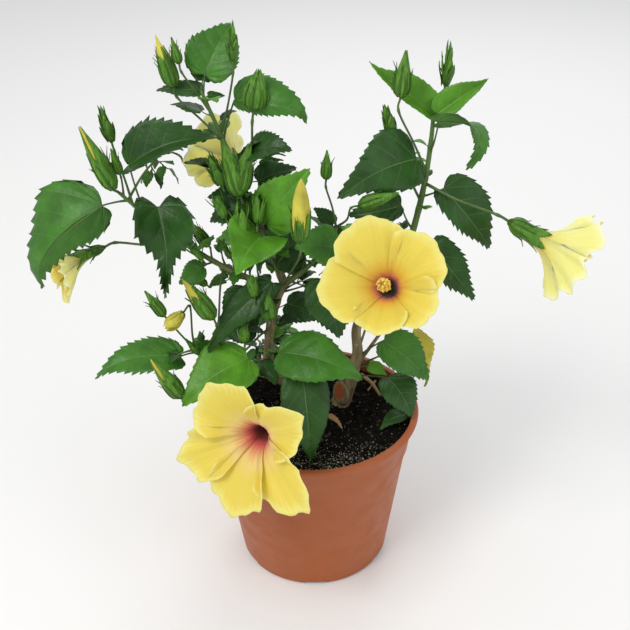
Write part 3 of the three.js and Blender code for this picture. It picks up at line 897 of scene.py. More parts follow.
class HIBISCUS_OT_stems(bpy.types.Operator):
    """The trunk, stems and boughs, each one tapering limb with its bark, nodes and collar"""

    bl_idname = "hibiscus.stems"
    bl_label = "Stems"

    def execute(self, context):
        colours = choices(context)[1]
        bark = bark_finish("Bark and green skin", colours.bark, colours.green_wood)
        cut = stem_finish("Cut wood", linear(166, 84, 42), 0.8)
        for number, (name, limb) in enumerate(LIMBS.items()):
            bm = bmesh.new()
            wood = bm.verts.layers.float.new("wood")
            self.limb(bm, wood, name, limb, number)
            for stub in PRUNED:
                if stub[0] == name:
                    self.stub(bm, wood, limb, *stub[1:])
            welded(bm)
            piece(f"{name}_bark", bm, [bark, cut], [name])
        return {"FINISHED"}

    def limb(self, bm, wood, name, limb, number):
        """One limb's skin: a flared foot, a collar at each joint, a rounded tip, ridges and root lobes."""
        low, high = WOODINESS[name]
        woody, length = low > 0.9, limb.length()
        sides, step, relief = (26, 0.0022, 0.05) if woody else (16, 0.003, 0.02)
        steps = max(int(length / step), 12)
        flare = ROOT_FLARE.get(name, FOOT_FLARE)
        first = -0.12 if name in ROOT_FLARE else -0.02
        rings = []
        for i in range(steps + 1):
            t = lerp(first, 1, i / steps)
            radius = limb.radius(t) + flare * math.exp(-max(t, 0) / 0.14)
            radius += sum(COLLAR * limb.radius(t) * math.exp(-((t - j) * length / COLLAR_WIDE) ** 2)
                          for j in limb.joints)
            if t > 0.985:
                radius *= math.sqrt(clamp((1.004 - t) / 0.019))

            def reach(turn, t=t, radius=radius):
                spot = Vector((math.cos(turn) * 1.6, math.sin(turn) * 1.6, t * length * 90 + number * 7))
                ridge = noise.noise(Vector((spot.x * 2.4, spot.y * 2.4, spot.z * 0.35)))
                lobes = 0.07 * math.cos(3 * turn + number) * math.exp(-max(t, 0) / 0.2) if woody else 0
                return radius * (1 + relief * (noise.noise(spot) + 0.9 * ridge) + lobes)

            rings.append((limb.point(t), limb.along(t), reach))
        foot, reach = limb.point(0), (limb.point(1) - limb.point(0)).length
        for v in tube(bm, rings, sides):
            v[wood] = lerp(low, high, clamp((v.co - foot).length / reach))

    def stub(self, bm, wood, limb, at, compass, rise, length, radius):
        """What is left of a pruned branch, with its cut end in the second finish."""
        foot, way = limb.point(at), aim(compass, rise)
        rings = []
        for s, share in STUB_SHAPE:
            reach = limb.radius(at) * 0.6 + length * MM * s
            rings.append((foot + way * reach, way, radius * MM * share))
        for v in tube(bm, rings, 16, finish=lambda i, j: 1 if i >= len(STUB_SHAPE) - 1 else 0):
            v[wood] = 1.1
            v.co.z = foot.z + (v.co.z - foot.z) * STUB_TALL


# ---- leaves -------------------------------------------------------------------------------------
TINTS = ("green", "bright", "dark", "yellowing")
LEAF_GREEN, LEAF_BRIGHT, LEAF_DARK = range(3)
# How many places after a tint its veins and its underside stand among a leaf's finishes
VEINS, UNDERSIDES = 4, 8
# What differs from leaf to leaf, from least to most
VARIED = (("heart", 0.07, 0.13), ("quilt", 0.008, 0.014), ("curl", -0.05, 0.16), ("wave", 0.03, 0.08),
          ("phase", 0, math.tau), ("twist", -0.25, 0.25), ("droop", 0.0, 0.3), ("sway", -0.06, 0.06),
          ("taper", 0.0, 0.15))


def blade_width(y):
    """Half-width of a leaf as a share of its greatest, from base to a drawn-out tip."""
    y = clamp(y)
    return math.sin(math.pi * y ** 0.62) ** 0.95 * (1 - 0.16 * smooth_step(0.55, 0.9, y))


class Look:
    """How one leaf differs from the next.

    heart: how far the base is drawn back; quilt: how the blade swells between its veins; curl and wave:
    roll and waves of the margins; twist, droop and sway: of the whole blade; taper: how much narrower
    the outer part is; bite: size of the teeth; folds and halves: angle and width of each half.
    """

    def __init__(self, rng, teeth=12, columns=(0.1, 0.28, 0.48, 0.68, 0.87, 1.0), **given):
        self.teeth, self.columns = teeth, columns
        self.veins = list(range(1, teeth - 2, 2))
        for name, least, most in VARIED:
            drawn = rng.uniform(least, most)
            setattr(self, name, given.get(name, drawn))
        self.bite = given.get("bite", 1.0)
        self.folds = given.get("folds", (0.0, 0.0))
        self.halves = given.get("halves", (1.0, 1.0))
        self.ragged = [rng.uniform(0.6, 1.4) for _ in range(2 * teeth + 4)]


TOOTH_AT = 0.7


def leaf_rows(look):
    """(margin share, tooth, vein side, lift) of each row of corners, from the base to the tip."""
    rows = [(0.0, 0.0, 0, 0.0), (0.008, 0.0, 0, 0.0), (0.022, 0.0, 0, 0.0)]
    if len(look.columns) == 1:
        del rows[1]
    ends = [0.045 + 0.925 * (k / look.teeth) ** 1.15 for k in range(look.teeth + 1)]
    ribs = [lerp(ends[k], ends[k + 1], TOOTH_AT) for k in look.veins]
    for k in range(look.teeth):
        for share, tooth in ((0.0, 0.0), (TOOTH_AT, 1.0)):
            at = lerp(ends[k], ends[k + 1], share)
            if tooth and k in look.veins:
                rows += [(at, 1.0, -1, 0.0), (at, 1.0, 1, 0.0)]
            else:
                below = max([r for r in ribs if r < at], default=0.0)
                above = min([r for r in ribs if r > at], default=1.0)
                rows.append((at, tooth, 0, math.sin(math.pi * (at - below) / (above - below))))
    rows.append((ends[-1], 0.0, 0, 0.2))
    rows.append((1.0, 0.0, 0, 0.0))
    return rows


# Width of a midrib at its foot and its tip, and of a side vein on a leaf that is LEAF_LONG long
MIDRIB, MIDRIB_TIP, SIDE_VEIN, LEAF_LONG = 0.00065, 0.00012, 0.0036, 0.055
# How far a tooth reaches outwards and forwards, as shares of its size, and how sharply it rises
TOOTH_OUT, TOOTH_ON, TOOTH_SHARP = 0.8, 0.95, 5


def add_leaf(bm, blade, look, tooth, tint):
    """One toothed blade with its midrib and side veins in a paler finish, as an open sheet."""
    rows = leaf_rows(look)
    shares = [-s for s in reversed(look.columns)] + [None, None] + list(look.columns)
    centre = len(look.columns)
    length, half = blade.reach.length, blade.width / 2

    def place(i, j):
        margin, bite, vein, lift = rows[i]
        hand = 1 if j > centre else 0
        share = 0.0 if j in (centre, centre + 1) else abs(shares[j])
        rib = max(MIDRIB * (1 - margin), MIDRIB_TIP) * min(1, length / 0.05)
        from_rib = max(0.0, (margin - 0.3) / 0.7)
        y_margin = margin - look.heart * math.sin(math.pi * min(1, margin / 0.3) ** 0.6) * (1 - margin)
        x_margin = half * blade_width(margin) * look.halves[hand]
        x_margin *= 1 - look.taper * smooth_step(0.22, 0.62, margin)
        x = rib * (1 if margin < 1 else 0) + x_margin * share
        y = lerp(from_rib, y_margin, share ** 1.12)
        if bite:
            size = tooth * look.bite * look.ragged[(i + 7 * hand) % len(look.ragged)] * (1 - 0.45 * margin)
            x += size * length * TOOTH_OUT * share ** TOOTH_SHARP
            y += size * TOOTH_ON * share ** TOOTH_SHARP
        if vein:
            narrow = min(1, share / 0.2 + 0.15) * (1 - 0.8 * share)
            y += vein * SIDE_VEIN * (LEAF_LONG / length) * narrow
        z = look.quilt * length * lift * math.sin(math.pi * min(share * 1.02, 1)) ** 0.8
        z += look.wave * half * math.sin(math.tau * 1.7 * y + look.phase + 1.3 * hand) * share ** 2
        z -= look.curl * x * x / half
        fold = blade.fold + look.folds[hand]
        if not hand:
            x = -x
        along = blade.along(y)
        up = square(blade.up, along)
        side = along.cross(up)
        turn = Matrix.Rotation(look.twist * (y - 0.25), 3, along)
        up, side = turn @ up, turn @ side
        spot = blade.midrib(y) + blade.side * (look.sway * length * math.sin(math.pi * y))
        spot -= up * (look.droop * length * max(0, y - 0.7) ** 2 * 3)
        return spot + side * (x * math.cos(fold)) + up * (abs(x) * math.sin(fold) + z)

    def finish(i, j):
        return tint + (VEINS if rows[i][2] == -1 or j == centre else 0)

    sheet(bm, len(rows) - 1, len(shares) - 1, place, finish)


def add_stalk(bm, blade, radius, rng, sides=7, steps=12):
    """The leaf's stalk, and the rib that it becomes under the blade."""
    start, way = blade.start, blade.base - blade.start
    sag = square(-UP, way) if way.length > 0.004 else Vector()
    bow = way.length * rng.uniform(-0.04, 0.08)
    points = [start, start + way * 0.35 + sag * bow, start + way * 0.75 + sag * bow * 0.8, blade.base]
    thin = lerp(0.7, 1, min(1, blade.reach.length / 0.06))
    rings = bend(points, [r * thin for r in (radius * 1.5, radius, radius * 0.85, radius * 0.9)], steps)
    for y in (0.08, 0.22, 0.4, 0.6, 0.76):
        up = square(blade.up, blade.along(y))
        rings.append((blade.midrib(y) - up * radius * 0.55 * (1 - y), blade.along(y),
                      radius * lerp(0.85, 0.16, y) * thin))
    tube(bm, rings, sides)


def leaf_finishes(colours):
    """Upper finishes by tint, their veins, then the same again for the undersides."""
    tints = (colours.leaf, colours.leaf_bright, colours.leaf_dark, colours.leaf_yellow)
    made = []
    for side, paler, roughness in (("Leaf", 0.0, 0.4), ("Leaf underside", 0.28, 0.6)):
        sides = [blend_of(tint, linear(112, 148, 84), paler) for tint in tints]
        made += [leaf_finish(f"{side} {n}", c, roughness) for n, c in zip(TINTS, sides)]
        made += [stem_finish(f"{side} veins {n}", blend_of(c, linear(150, 178, 96), 0.2), 0.45)
                 for n, c in zip(TINTS, sides)]
    return made


# Leaves with a look of their own, by the name of their pad. Besides what Look takes, tint is another
# tint than the pad's, shift moves the whole blade and drawn its tip, both in millimetres
LOOKS = {
    "far_left": dict(curl=0.1, wave=0.05, twist=0.1, droop=0.25, bite=1.1, halves=(0.6, 1.05),
                     folds=(-1.3, 0.0), taper=0.3, shift=(-4, 0, -3)),
    "crown_left": dict(quilt=0.018, wave=0.04, curl=0.0, tint=LEAF_GREEN, halves=(0.86, 0.86),
                       shift=(-1, 0, 7)),
    "upper_left": dict(curl=-0.05, wave=0.05, droop=0.0, bite=1.2, twist=0.0, halves=(0.76, 0.8),
                       folds=(-0.25, 0.55)),
    "left_hanging": dict(tint=LEAF_DARK, curl=-0.3, wave=0.26, twist=0.25, bite=1.3, taper=0.72,
                         droop=0.0, heart=0.2, halves=(0.92, 0.86), drawn=(9, 0, 0)),
    "upper_arch": dict(curl=0.2, wave=0.03, droop=0.7, bite=0.9, halves=(1.1, 0.4), folds=(0.0, -0.9),
                       shift=(2, 0, 4)),
    "centre_front": dict(quilt=0.014, curl=-0.15, wave=0.08, bite=0.3, taper=0.25, heart=0.16,
                         shift=(3, 0, -6)),
    "centre_bright": dict(bite=0.6, wave=0.05),
    "top_right_inner": dict(curl=-0.05, droop=-0.6, bite=0.3, folds=(0.1, 0.5), halves=(0.6, 0.92)),
    "top_right_outer": dict(curl=0.1, droop=-0.2, bite=0.3, folds=(0.4, 0.0), halves=(0.92, 0.62)),
    "right_dark": dict(bite=0.7, curl=-0.1, wave=0.1, taper=0.3, halves=(0.8, 1.0), shift=(-1, 0, 1)),
    "right_inner": dict(halves=(0.6, 1.0)),
    "centre_low": dict(halves=(1.0, 0.8), shift=(6, 0, -6)),
    "centre_dark": dict(shift=(5, 0, 0)),
    "right_arch": dict(twist=1.3, curl=0.1, droop=0.5, halves=(0.85, 0.85)),
    "right_outer": dict(bite=1.1, curl=0.12, halves=(1.05, 0.56)),
    "low_right": dict(halves=(1.0, 0.85), shift=(0, 0, 4)),
    "right_low_outer": dict(bite=1.2, halves=(0.85, 0.8)),
    "front_hanging": dict(tint=LEAF_DARK, curl=0.2, wave=0.03, twist=0.0, bite=0.4),
    "low_centre": dict(curl=0.15, wave=0.05, bite=0.5),
    "left_inner": dict(bite=0.5, curl=0.15, halves=(0.75, 0.7), taper=0.2),
    "low_left_bright": dict(bite=0.5, wave=0.06),
    "low_left_outer": dict(bite=1.2, wave=0.07, halves=(0.7, 0.76)),
    "low_right_yellowing": dict(curl=-0.35, wave=0.12, bite=0.6),
}


def look_of(node):
    return LOOKS.get(node.removeprefix("foliage_"), {})


class HIBISCUS_OT_leaves(bpy.types.Operator):
    """The large leaves, each on the stalk and midrib that its pad sets, joined by tint"""

    bl_idname = "hibiscus.leaves"
    bl_label = "Large leaves"

    def execute(self, context):
        sizes, colours = choices(context)
        rng = random.Random(3)
        finishes = leaf_finishes(colours)
        stalks = bmesh.new()
        for tint, name in enumerate(TINTS):
            nodes = [node for node in LEAF_NODES if SLOT_OF[node] == f"leaf_{name}"]
            bm = bmesh.new()
            for node in nodes:
                blade, given = Blade.of_node(node), look_of(node)
                shift, drawn = (Vector(given.get(key, (0, 0, 0))) * MM for key in ("shift", "drawn"))
                blade.base, blade.tip = blade.base + shift, blade.tip + shift + drawn
                blade.reach = blade.tip - blade.base
                add_leaf(bm, blade, Look(rng, **given), sizes.tooth, given.get("tint", tint))
                add_stalk(stalks, blade, sizes.stalk, rng)
            welded(bm, outward=False)
            made = piece(f"leaves_{name}", bm, finishes, nodes)
            thicken(made, sizes.leaf_thickness, UNDERSIDES)
        welded(stalks)
        green = stem_finish("Leaf stalks", shade(colours.green_wood, 0.75))
        piece("leaf_stalks", stalks, [green])
        return {"FINISHED"}


# ---- sprays and shoots --------------------------------------------------------------------------
GOLDEN_TURN = math.radians(137.5)
BACK_LIMIT = CAD_BOX[1][1] + 0.008
STALK_LIFT = 0.4
HALFWAY = [0, 0.5, 1]
# Twigs for each metre of a mass's size; lengths of its leaves, how much longer those at its back are,
# the shortest, and how they shrink to stay in its room
TWIGS_PER_METRE, MASS_LEAVES, LONGER_BEHIND, SHORTEST, SHRINK = 480, (0.034, 0.054), 0.012, 0.014, 0.86


def small_look(rng, teeth=5):
    """A small leaf of a few dozen faces."""
    look = Look(rng, teeth=teeth, columns=(1.0,))
    look.veins = []
    return look


class Greenery:
    """The meshes that twigs and small leaves are gathered in."""

    def __init__(self, rng, stalk, tooth):
        self.rng, self.stalk, self.tooth = rng, stalk, tooth
        self.twigs, self.leaves = bmesh.new(), bmesh.new()

    def leaf(self, start, out, long, tint, sag):
        """One stalked leaf that grows out and a little up from a twig, and droops by sag."""
        rng = self.rng
        stalk = long * rng.uniform(0.2, 0.42)
        base = start + (out + UP * STALK_LIFT).normalized() * stalk
        reach = (out + UP * (STALK_LIFT * 0.3 - sag)).normalized() * long
        face = UP + out * 0.35 + Vector([rng.uniform(-0.3, 0.3) for _ in range(3)])
        up = square(face, reach)
        blade = Blade(start, base, base + reach, up, long * rng.uniform(0.56, 0.76),
                      up * long * rng.uniform(0.03, 0.12), math.radians(rng.uniform(4, 26)))
        add_leaf(self.leaves, blade, small_look(rng), self.tooth * 1.3, tint)
        add_stalk(self.twigs, blade, self.stalk * 0.75, rng, sides=5, steps=5)

    def twig(self, line, first, last, steps=6):
        tube(self.twigs, bend(line, [first, last], steps), 7)


# Masses that are drawn together, by a share, and moved, in millimetres, so that sky shows beside them
KEPT_OPEN = {"foliage_back_left": (0.6, (7, 0, 19)), "foliage_back_upper_right": (0.62, (8, 0, 4))}


class Spray:
    """Twigs that branch from a bough towards seeded spots in a mass's room, with leaves along them."""

    def __init__(self, node, greenery):
        low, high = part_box(node)
        self.centre, self.half = (low + high) / 2, (high - low) / 2
        self.greenery, self.rng = greenery, greenery.rng
        self.tight, shift = KEPT_OPEN.get(node, (1.0, (0, 0, 0)))
        self.centre += Vector(shift) * MM

    def spot(self, share):
        """A seeded spot, a share of the way from the middle to the skin."""
        rng = self.rng
        out = Vector([rng.gauss(0, 1) for _ in range(3)]).normalized() * share
        return self.centre + Vector([o * h for o, h in zip(out, self.half)])

    def outside(self, point):
        """1 on the skin of the mass's room, and more outside it."""
        return sum((g / h) ** 2 for g, h in zip(point - self.centre, self.half))

    def grow(self):
        rng, greenery = self.rng, self.greenery
        limb, t = nearest_on_limbs(self.centre)
        root, girth = limb.point(t), limb.radius(t) * 0.8
        bough = [root, lerp(root, self.centre, 0.5) + UP * 0.003, self.centre]
        greenery.twig(bough, girth, girth * 0.6, 10)
        joints = [(through(HALFWAY, bough, k / 8), girth * 0.7) for k in range(3, 9)]
        size = sum(self.half) / 3
        goals = [self.spot(rng.uniform(0.45, 0.86) * self.tight) for _ in range(int(size * TWIGS_PER_METRE))]
        for goal in sorted(goals, key=lambda g: (g - root).length):
            start, girth = min(joints, key=lambda j: (j[0] - goal).length)
            way = goal - start
            if way.length < 0.006:
                continue
            arch = square(UP, way) * way.length * 0.1
            line = [start, lerp(start, goal, 0.5) + arch, goal]
            greenery.twig(line, girth * 0.7, max(girth * 0.4, 0.0005))
            joints += [(through(HALFWAY, line, k), max(girth * 0.6, 0.0006)) for k in (0.5, 0.75, 1)]
            turn = rng.uniform(0, math.tau)
            for k, along in enumerate((0.5, 0.78, 1.0)):
                foot = through(HALFWAY, line, along)
                side = Matrix.Rotation(turn + k * GOLDEN_TURN, 3, way.normalized()) @ arch.normalized()
                outward = (foot - self.centre).normalized()
                out = (side * 0.8 + outward * 0.9 + way.normalized() * 0.3).normalized()
                behind = max(0.0, out.y) if self.tight == 1.0 else 0.0
                long = rng.uniform(*MASS_LEAVES) + LONGER_BEHIND * behind
                room = (1.5 + behind) * self.tight ** 3
                while long > SHORTEST and (self.outside(foot + out * long * 1.2) > room
                                           or foot.y + out.y * long * 1.3 > BACK_LIMIT):
                    long *= SHRINK
                tint = rng.choices((LEAF_GREEN, LEAF_BRIGHT, LEAF_DARK), (5, 1.5, 3))[0]
                greenery.leaf(foot, out, long, tint, rng.uniform(0.1, 0.8))


# Shoots along each limb: first and last share, step between joints, leaf lengths (millimetres), how dark
SHOOTS = {
    "centre_leader": (0.04, 1.0, 10, (14, 32), 0.6),
    "left_bough": (0.06, 0.66, 11, (12, 26), 0.6),
    "low_left_bough": (0.1, 1.0, 11, (10, 18), 0.6),
    "centre_stem": (0.2, 1.0, 10, (16, 32), 0.75),
    "right_stem": (0.3, 1.0, 26, (7, 13), 0.2),
    "middle_shoot": (0.1, 1.0, 12, (11, 22), 0.5),
    "back_bough_right": (0.3, 1.0, 15, (24, 38), 0.5),
    "back_bough_centre": (0.3, 1.0, 15, (24, 38), 0.5),
    "back_bough_low": (0.3, 1.0, 15, (22, 36), 0.5),
}
SIDE_TWIGS = 0.35
# Leaves of middling size: limb, share along it, stalk and blade as (compass, rise, millimetres), the way
# the upper side faces, width and tint
MIDDLING = [
    ("centre_leader", 0.96, (120, 50, 7), (173, 0, 36), (-80, 55), 15, LEAF_DARK),
    ("centre_leader", 0.96, (40, 30, 4), (8, -4, 13), (-80, 55), 8, LEAF_DARK),
    ("centre_leader", 0.55, (40, -20, 18), (14, 14, 34), (-100, 40), 24, LEAF_DARK),
    ("centre_leader", 0.30, (60, 0, 12), (-172, -42, 34), (-90, 40), 32, LEAF_DARK),
    ("centre_leader", 0.20, (30, -10, 14), (-30, -58, 34), (-80, 35), 30, LEAF_DARK),
    ("centre_leader", 0.12, (70, 10, 16), (-10, 30, 36), (-90, 35), 30, LEAF_DARK),
    ("centre_leader", 0.45, (-160, 10, 10), (-165, 12, 24), (-90, 50), 20, LEAF_DARK),
    ("middle_shoot", 1.0, (150, 30, 4), (160, 34, 21), (-90, 50), 13, LEAF_DARK),
    ("middle_shoot", 0.6, (60, 10, 12), (20, 20, 30), (-90, 45), 24, LEAF_DARK),
    ("centre_stem", 0.9, (160, -20, 22), (-150, -55, 30), (-100, 20), 26, LEAF_DARK),
    ("centre_stem", 0.7, (40, 0, 14), (0, -30, 34), (-80, 40), 28, LEAF_DARK),
    ("centre_stem", 0.45, (150, 0, 14), (170, 5, 34), (-90, 45), 28, LEAF_DARK),
    ("centre_stem", 0.15, (-130, 20, 14), (-60, -8, 32), (-60, 60), 24, LEAF_DARK),
    ("left_bough", 0.2, (-100, -30, 12), (-150, -42, 34), (-100, 30), 28, LEAF_DARK),
    ("left_bough", 0.5, (-90, -40, 10), (-160, -30, 24), (-100, 40), 20, LEAF_GREEN),
    ("low_left_bough", 0.6, (-160, 50, 14), (175, 30, 24), (-90, 40), 18, LEAF_GREEN),
    ("trunk", 0.9, (-30, 20, 16), (-20, -20, 18), (-70, 55), 13, LEAF_BRIGHT),
]


def grow_masses(greenery):
    for node in BACK_MASSES:
        Spray(node, greenery).grow()


# The way behind a leaf, as seen from the front, and how far off and how large the leaves there are
AWAY, BEHIND = Vector((0, 0.86, -0.51)), ((0.024, 0.68), (0.048, 0.56))
LOWEST_BEHIND, LONGEST_STALK = 0.165, 0.075


def grow_behind(greenery):
    """Leaves that each broad leaf hides from the front, so that the crown is full from all sides."""
    rng = greenery.rng
    for node in LEAF_NODES:
        if not look_of(node).keys().isdisjoint(("taper", "halves", "folds")):
            continue
        front = Blade.of_node(node)
        centre = (front.base + front.tip) / 2
        for depth, share in BEHIND:
            turn = Matrix.Rotation(rng.uniform(-0.2, 0.2), 3, AWAY)
            shift = AWAY * depth * rng.uniform(0.85, 1.15)
            base, tip = (centre + turn @ ((end - centre) * share) + shift
                         for end in (front.base, front.tip))
            limb, t = nearest_on_limbs(base)
            start = limb.point(t)
            if min(base.z, tip.z) < LOWEST_BEHIND or (start - base).length > LONGEST_STALK:
                continue
            up = square(Vector((rng.uniform(-0.5, 0.5), 0.8, 0.7)), tip - base)
            reach = (tip - base).length
            blade = Blade(start, base, tip, up, min(front.width, reach * 0.8) * share,
                          up * reach * 0.08, math.radians(rng.uniform(5, 20)))
            add_leaf(greenery.leaves, blade, Look(rng, teeth=9, columns=(0.3, 0.7, 1.0)), greenery.tooth,
                     rng.choice((LEAF_GREEN, LEAF_GREEN, LEAF_DARK)))
            add_stalk(greenery.twigs, blade, greenery.stalk, rng, sides=5, steps=8)


def grow_middling(greenery):
    """The leaves of middling size that show between the large ones."""
    rng = greenery.rng
    for limb, along, stalk, blade, face, width, tint in MIDDLING:
        grown = Blade.grown(LIMBS[limb].point(along), stalk, blade, face, width)
        look = Look(rng, teeth=9, columns=(0.2, 0.5, 0.8, 1.0))
        add_leaf(greenery.leaves, grown, look, greenery.tooth, tint)
        add_stalk(greenery.twigs, grown, greenery.stalk * 0.8, rng, sides=6, steps=8)


def grow_shoots(greenery):
    """Small leaves in turn round each limb, and at times a side twig of three."""
    rng = greenery.rng
    for name, (first, last, step, (short, long), dark) in SHOOTS.items():
        limb = LIMBS[name]
        count = int((last - first) * limb.length() / (step * MM))
        for k in range(count + 1):
            t = lerp(first, last, k / max(count, 1))
            along = limb.along(t)
            out = square(Vector((1, 0.2, 0.1)), along)
            out = Matrix.Rotation(k * GOLDEN_TURN + len(name), 3, along) @ out
            limb.joints.append(t)
            foot = limb.point(t) + out * limb.radius(t) * 0.7
            tint = LEAF_DARK if rng.random() < dark else rng.choice((LEAF_GREEN, LEAF_BRIGHT))
            size = rng.uniform(short, long) * MM
            if rng.random() < SIDE_TWIGS:
                end = foot + (out + along * 0.8).normalized() * size * 0.7
                greenery.twig([foot, lerp(foot, end, 0.5) + along * size * 0.05, end], 0.0011, 0.0006)
                for turn in (-0.9, 0.1, 1.0):
                    way = Matrix.Rotation(turn, 3, along) @ (out + along * 0.5).normalized()
                    greenery.leaf(end, way, size * rng.uniform(0.6, 0.95), tint, rng.uniform(-0.3, 0.5))
            else:
                greenery.leaf(foot, (out + along * 0.3).normalized(), size, tint, rng.uniform(-0.2, 0.7))


class HIBISCUS_OT_sprays(bpy.types.Operator):
    """The small leaves and twigs: shoots along most limbs, and the dense masses at the back"""

    bl_idname = "hibiscus.sprays"
    bl_label = "Sprays"

    def execute(self, context):
        sizes, colours = choices(context)
        finishes = leaf_finishes(colours)
        bark = stem_finish("Twigs", colours.green_wood)
        for group, seed, nodes, steps in (
            ("back", 40, BACK_MASSES, (grow_masses, grow_behind)),
            ("shoot", 21, [], (grow_shoots, grow_middling)),
        ):
            greenery = Greenery(random.Random(seed), sizes.stalk, sizes.tooth)
            for grow in steps:
                grow(greenery)
            welded(greenery.twigs)
            welded(greenery.leaves, outward=False)
            leaves = piece(f"{group}_leaves", greenery.leaves, finishes, nodes)
            thicken(leaves, sizes.leaf_thickness, UNDERSIDES)
            piece(f"{group}_twigs", greenery.twigs, [bark])
        return {"FINISHED"}


# ---- buds ---------------------------------------------------------------------------------------
BUD_GREEN, BUD_PALE, BUD_YELLOW, BUD_STALK = range(4)


def bud_finishes(colours):
    return [
        leaf_finish("Bud green", shade(colours.bud, 0.75), 0.5),
        sepal_finish("Sepals", shade(colours.bud, 1.45), shade(colours.bud, 0.72)),
        leaf_finish("Bud yellow", linear(192, 184, 72), 0.55),
        stem_finish("Flower stalks", shade(colours.green_wood, 0.8)),
    ]


STALK_STEPS = 16
# The swollen joint of a flower's stalk: how much thicker, where along the stalk and how wide
KNUCKLE, KNUCKLE_AT, KNUCKLE_WIDE = 0.55, 0.7, 0.03


def add_flower_stalk(bm, start, base, way, radius):
    """A bud's or bloom's stalk, bent to meet its base along way, with a joint two thirds up."""
    reach = base - start
    sag = square(Vector((0.2, 0.3, -1)), reach) * reach.length * 0.03
    points = [start, lerp(start, base, 0.4) + sag, base - way * reach.length * 0.16, base]
    rings = bend(points, [radius * 1.35, radius, radius * 0.95, radius * 1.05], STALK_STEPS)
    rings = [(c, a, r * (1 + KNUCKLE * math.exp(-((i / STALK_STEPS - KNUCKLE_AT) / KNUCKLE_WIDE) ** 2)))
             for i, (c, a, r) in enumerate(rings)]
    tube(bm, rings, 8, BUD_STALK)


BRACT_ROWS, BRACT_KEEL = 5, 0.0005


def add_bracts(bm, base, way, count, length, width, spread, lean, rng, finish=BUD_GREEN, skin=None):
    """A ring of narrow pointed bracts round a flower's foot, kept outside the radius skin(height).

    spread is how far they stand off at first, and lean how that changes up to their points.
    """
    side = around(way)[0]
    for k in range(count):
        out = Matrix.Rotation((k + rng.uniform(-0.15, 0.15)) / count * math.tau, 3, way) @ side
        reach = length * rng.uniform(0.8, 1.15)
        tilt = spread + rng.uniform(-0.1, 0.1)
        across = way.cross(out)

        def place(i, j):
            t = i / BRACT_ROWS
            w = width * math.sin(math.pi * clamp(0.16 + 0.84 * t)) ** 0.8 * (j - 1)
            bow = tilt * t + lean * t * t
            rise, away = reach * t * math.cos(bow * 0.6), width * 0.9 + reach * t * math.sin(bow)
            if skin:
                away = max(away, skin(rise) + BRACT_KEEL)
            spot = base + way * rise + out * (away - (BRACT_KEEL * abs(j - 1) if t < 1 else 0))
            return spot + across * w

        sheet(bm, BRACT_ROWS, 2, place, lambda i, j: finish)


# Outlines along a calyx or bud: shares of its length, and the share of its radius at each
CALYX = ((0, 0.08, 0.2, 0.36, 0.55, 0.75, 0.88, 1), (0.3, 0.62, 0.88, 1.0, 0.97, 0.92, 0.9, 0.88))
SPINDLE = ((0.0, 0.05, 0.13, 0.26, 0.4, 0.55, 0.7, 0.84, 0.94, 1.0),
           (0.28, 0.62, 0.9, 1.0, 0.96, 0.78, 0.54, 0.3, 0.14, 0.04))
PLUMP = ((0.0, 0.06, 0.15, 0.3, 0.5, 0.68, 0.82, 0.92, 0.98, 1.0),
         (0.28, 0.66, 0.9, 1.0, 1.0, 0.88, 0.64, 0.38, 0.16, 0.05))
CALYX_SIDES, CALYX_POINTS, CORE_SIDES = 40, 0.24, 20


def turn_of(j, sides):
    return j % sides / sides * math.tau


def add_calyx(bm, base, way, length, radius, phase, finish, clear):
    """A green cup of five joined sepals with drawn-out points, kept outside the radius clear(height)."""
    side, other = around(way)

    def place(i, j):
        s, share = CALYX[0][i], CALYX[1][i]
        turn = turn_of(j, CALYX_SIDES)
        sepal = abs((turn - phase) * 5 / math.tau % 1 - 0.5) * 2
        height = s + (CALYX_POINTS * (1.6 * (1 - sepal) - 0.5) * smooth_step(0.5, 1, s))
        narrow = 1 + (1 - sepal) * 0.12 * smooth_step(0.75, 1, s)
        reach = radius * share * (1 + 0.05 * math.cos(5 * (turn - phase))) * narrow
        reach = max(reach, clear(length * height))
        return base + way * (length * height) + spoke(side, other, turn) * reach

    sheet(bm, len(CALYX[0]) - 1, CALYX_SIDES, place, lambda i, j: finish)


def add_core(bm, base, way, length, radius, outline, finish, depth=0.06, twist=0.0):
    """A closed spindle with five ribs, whose outline is shares of its length and of its radius."""
    rings = []
    for s, share in zip(*outline):
        def ribbed(turn, wide=radius * share, phase=twist * s):
            return wide * (1 + depth * math.cos(5 * turn + phase))

        rings.append((base + way * length * s, way, ribbed))
    tube(bm, rings, CORE_SIDES, finish)


# How far the sepals cover each kind of bud, what shows above them, how much shorter one sepal is, how
# long its bracts are, as a share of the bud, and its outline
BUD_LOOKS = {
    "green": (0.95, BUD_PALE, 0.0, 0.66, SPINDLE),
    "pale": (0.92, BUD_PALE, 0.0, 0.66, SPINDLE),
    "tipped": (0.66, BUD_YELLOW, 0.2, 0.66, SPINDLE),
    "split": (0.9, BUD_YELLOW, 0.55, 0.5, SPINDLE),
    "golden": (0.36, BUD_YELLOW, 0.1, 0.5, PLUMP),
}
SEPAL_SIDES, SEPAL_ROWS = 30, 9


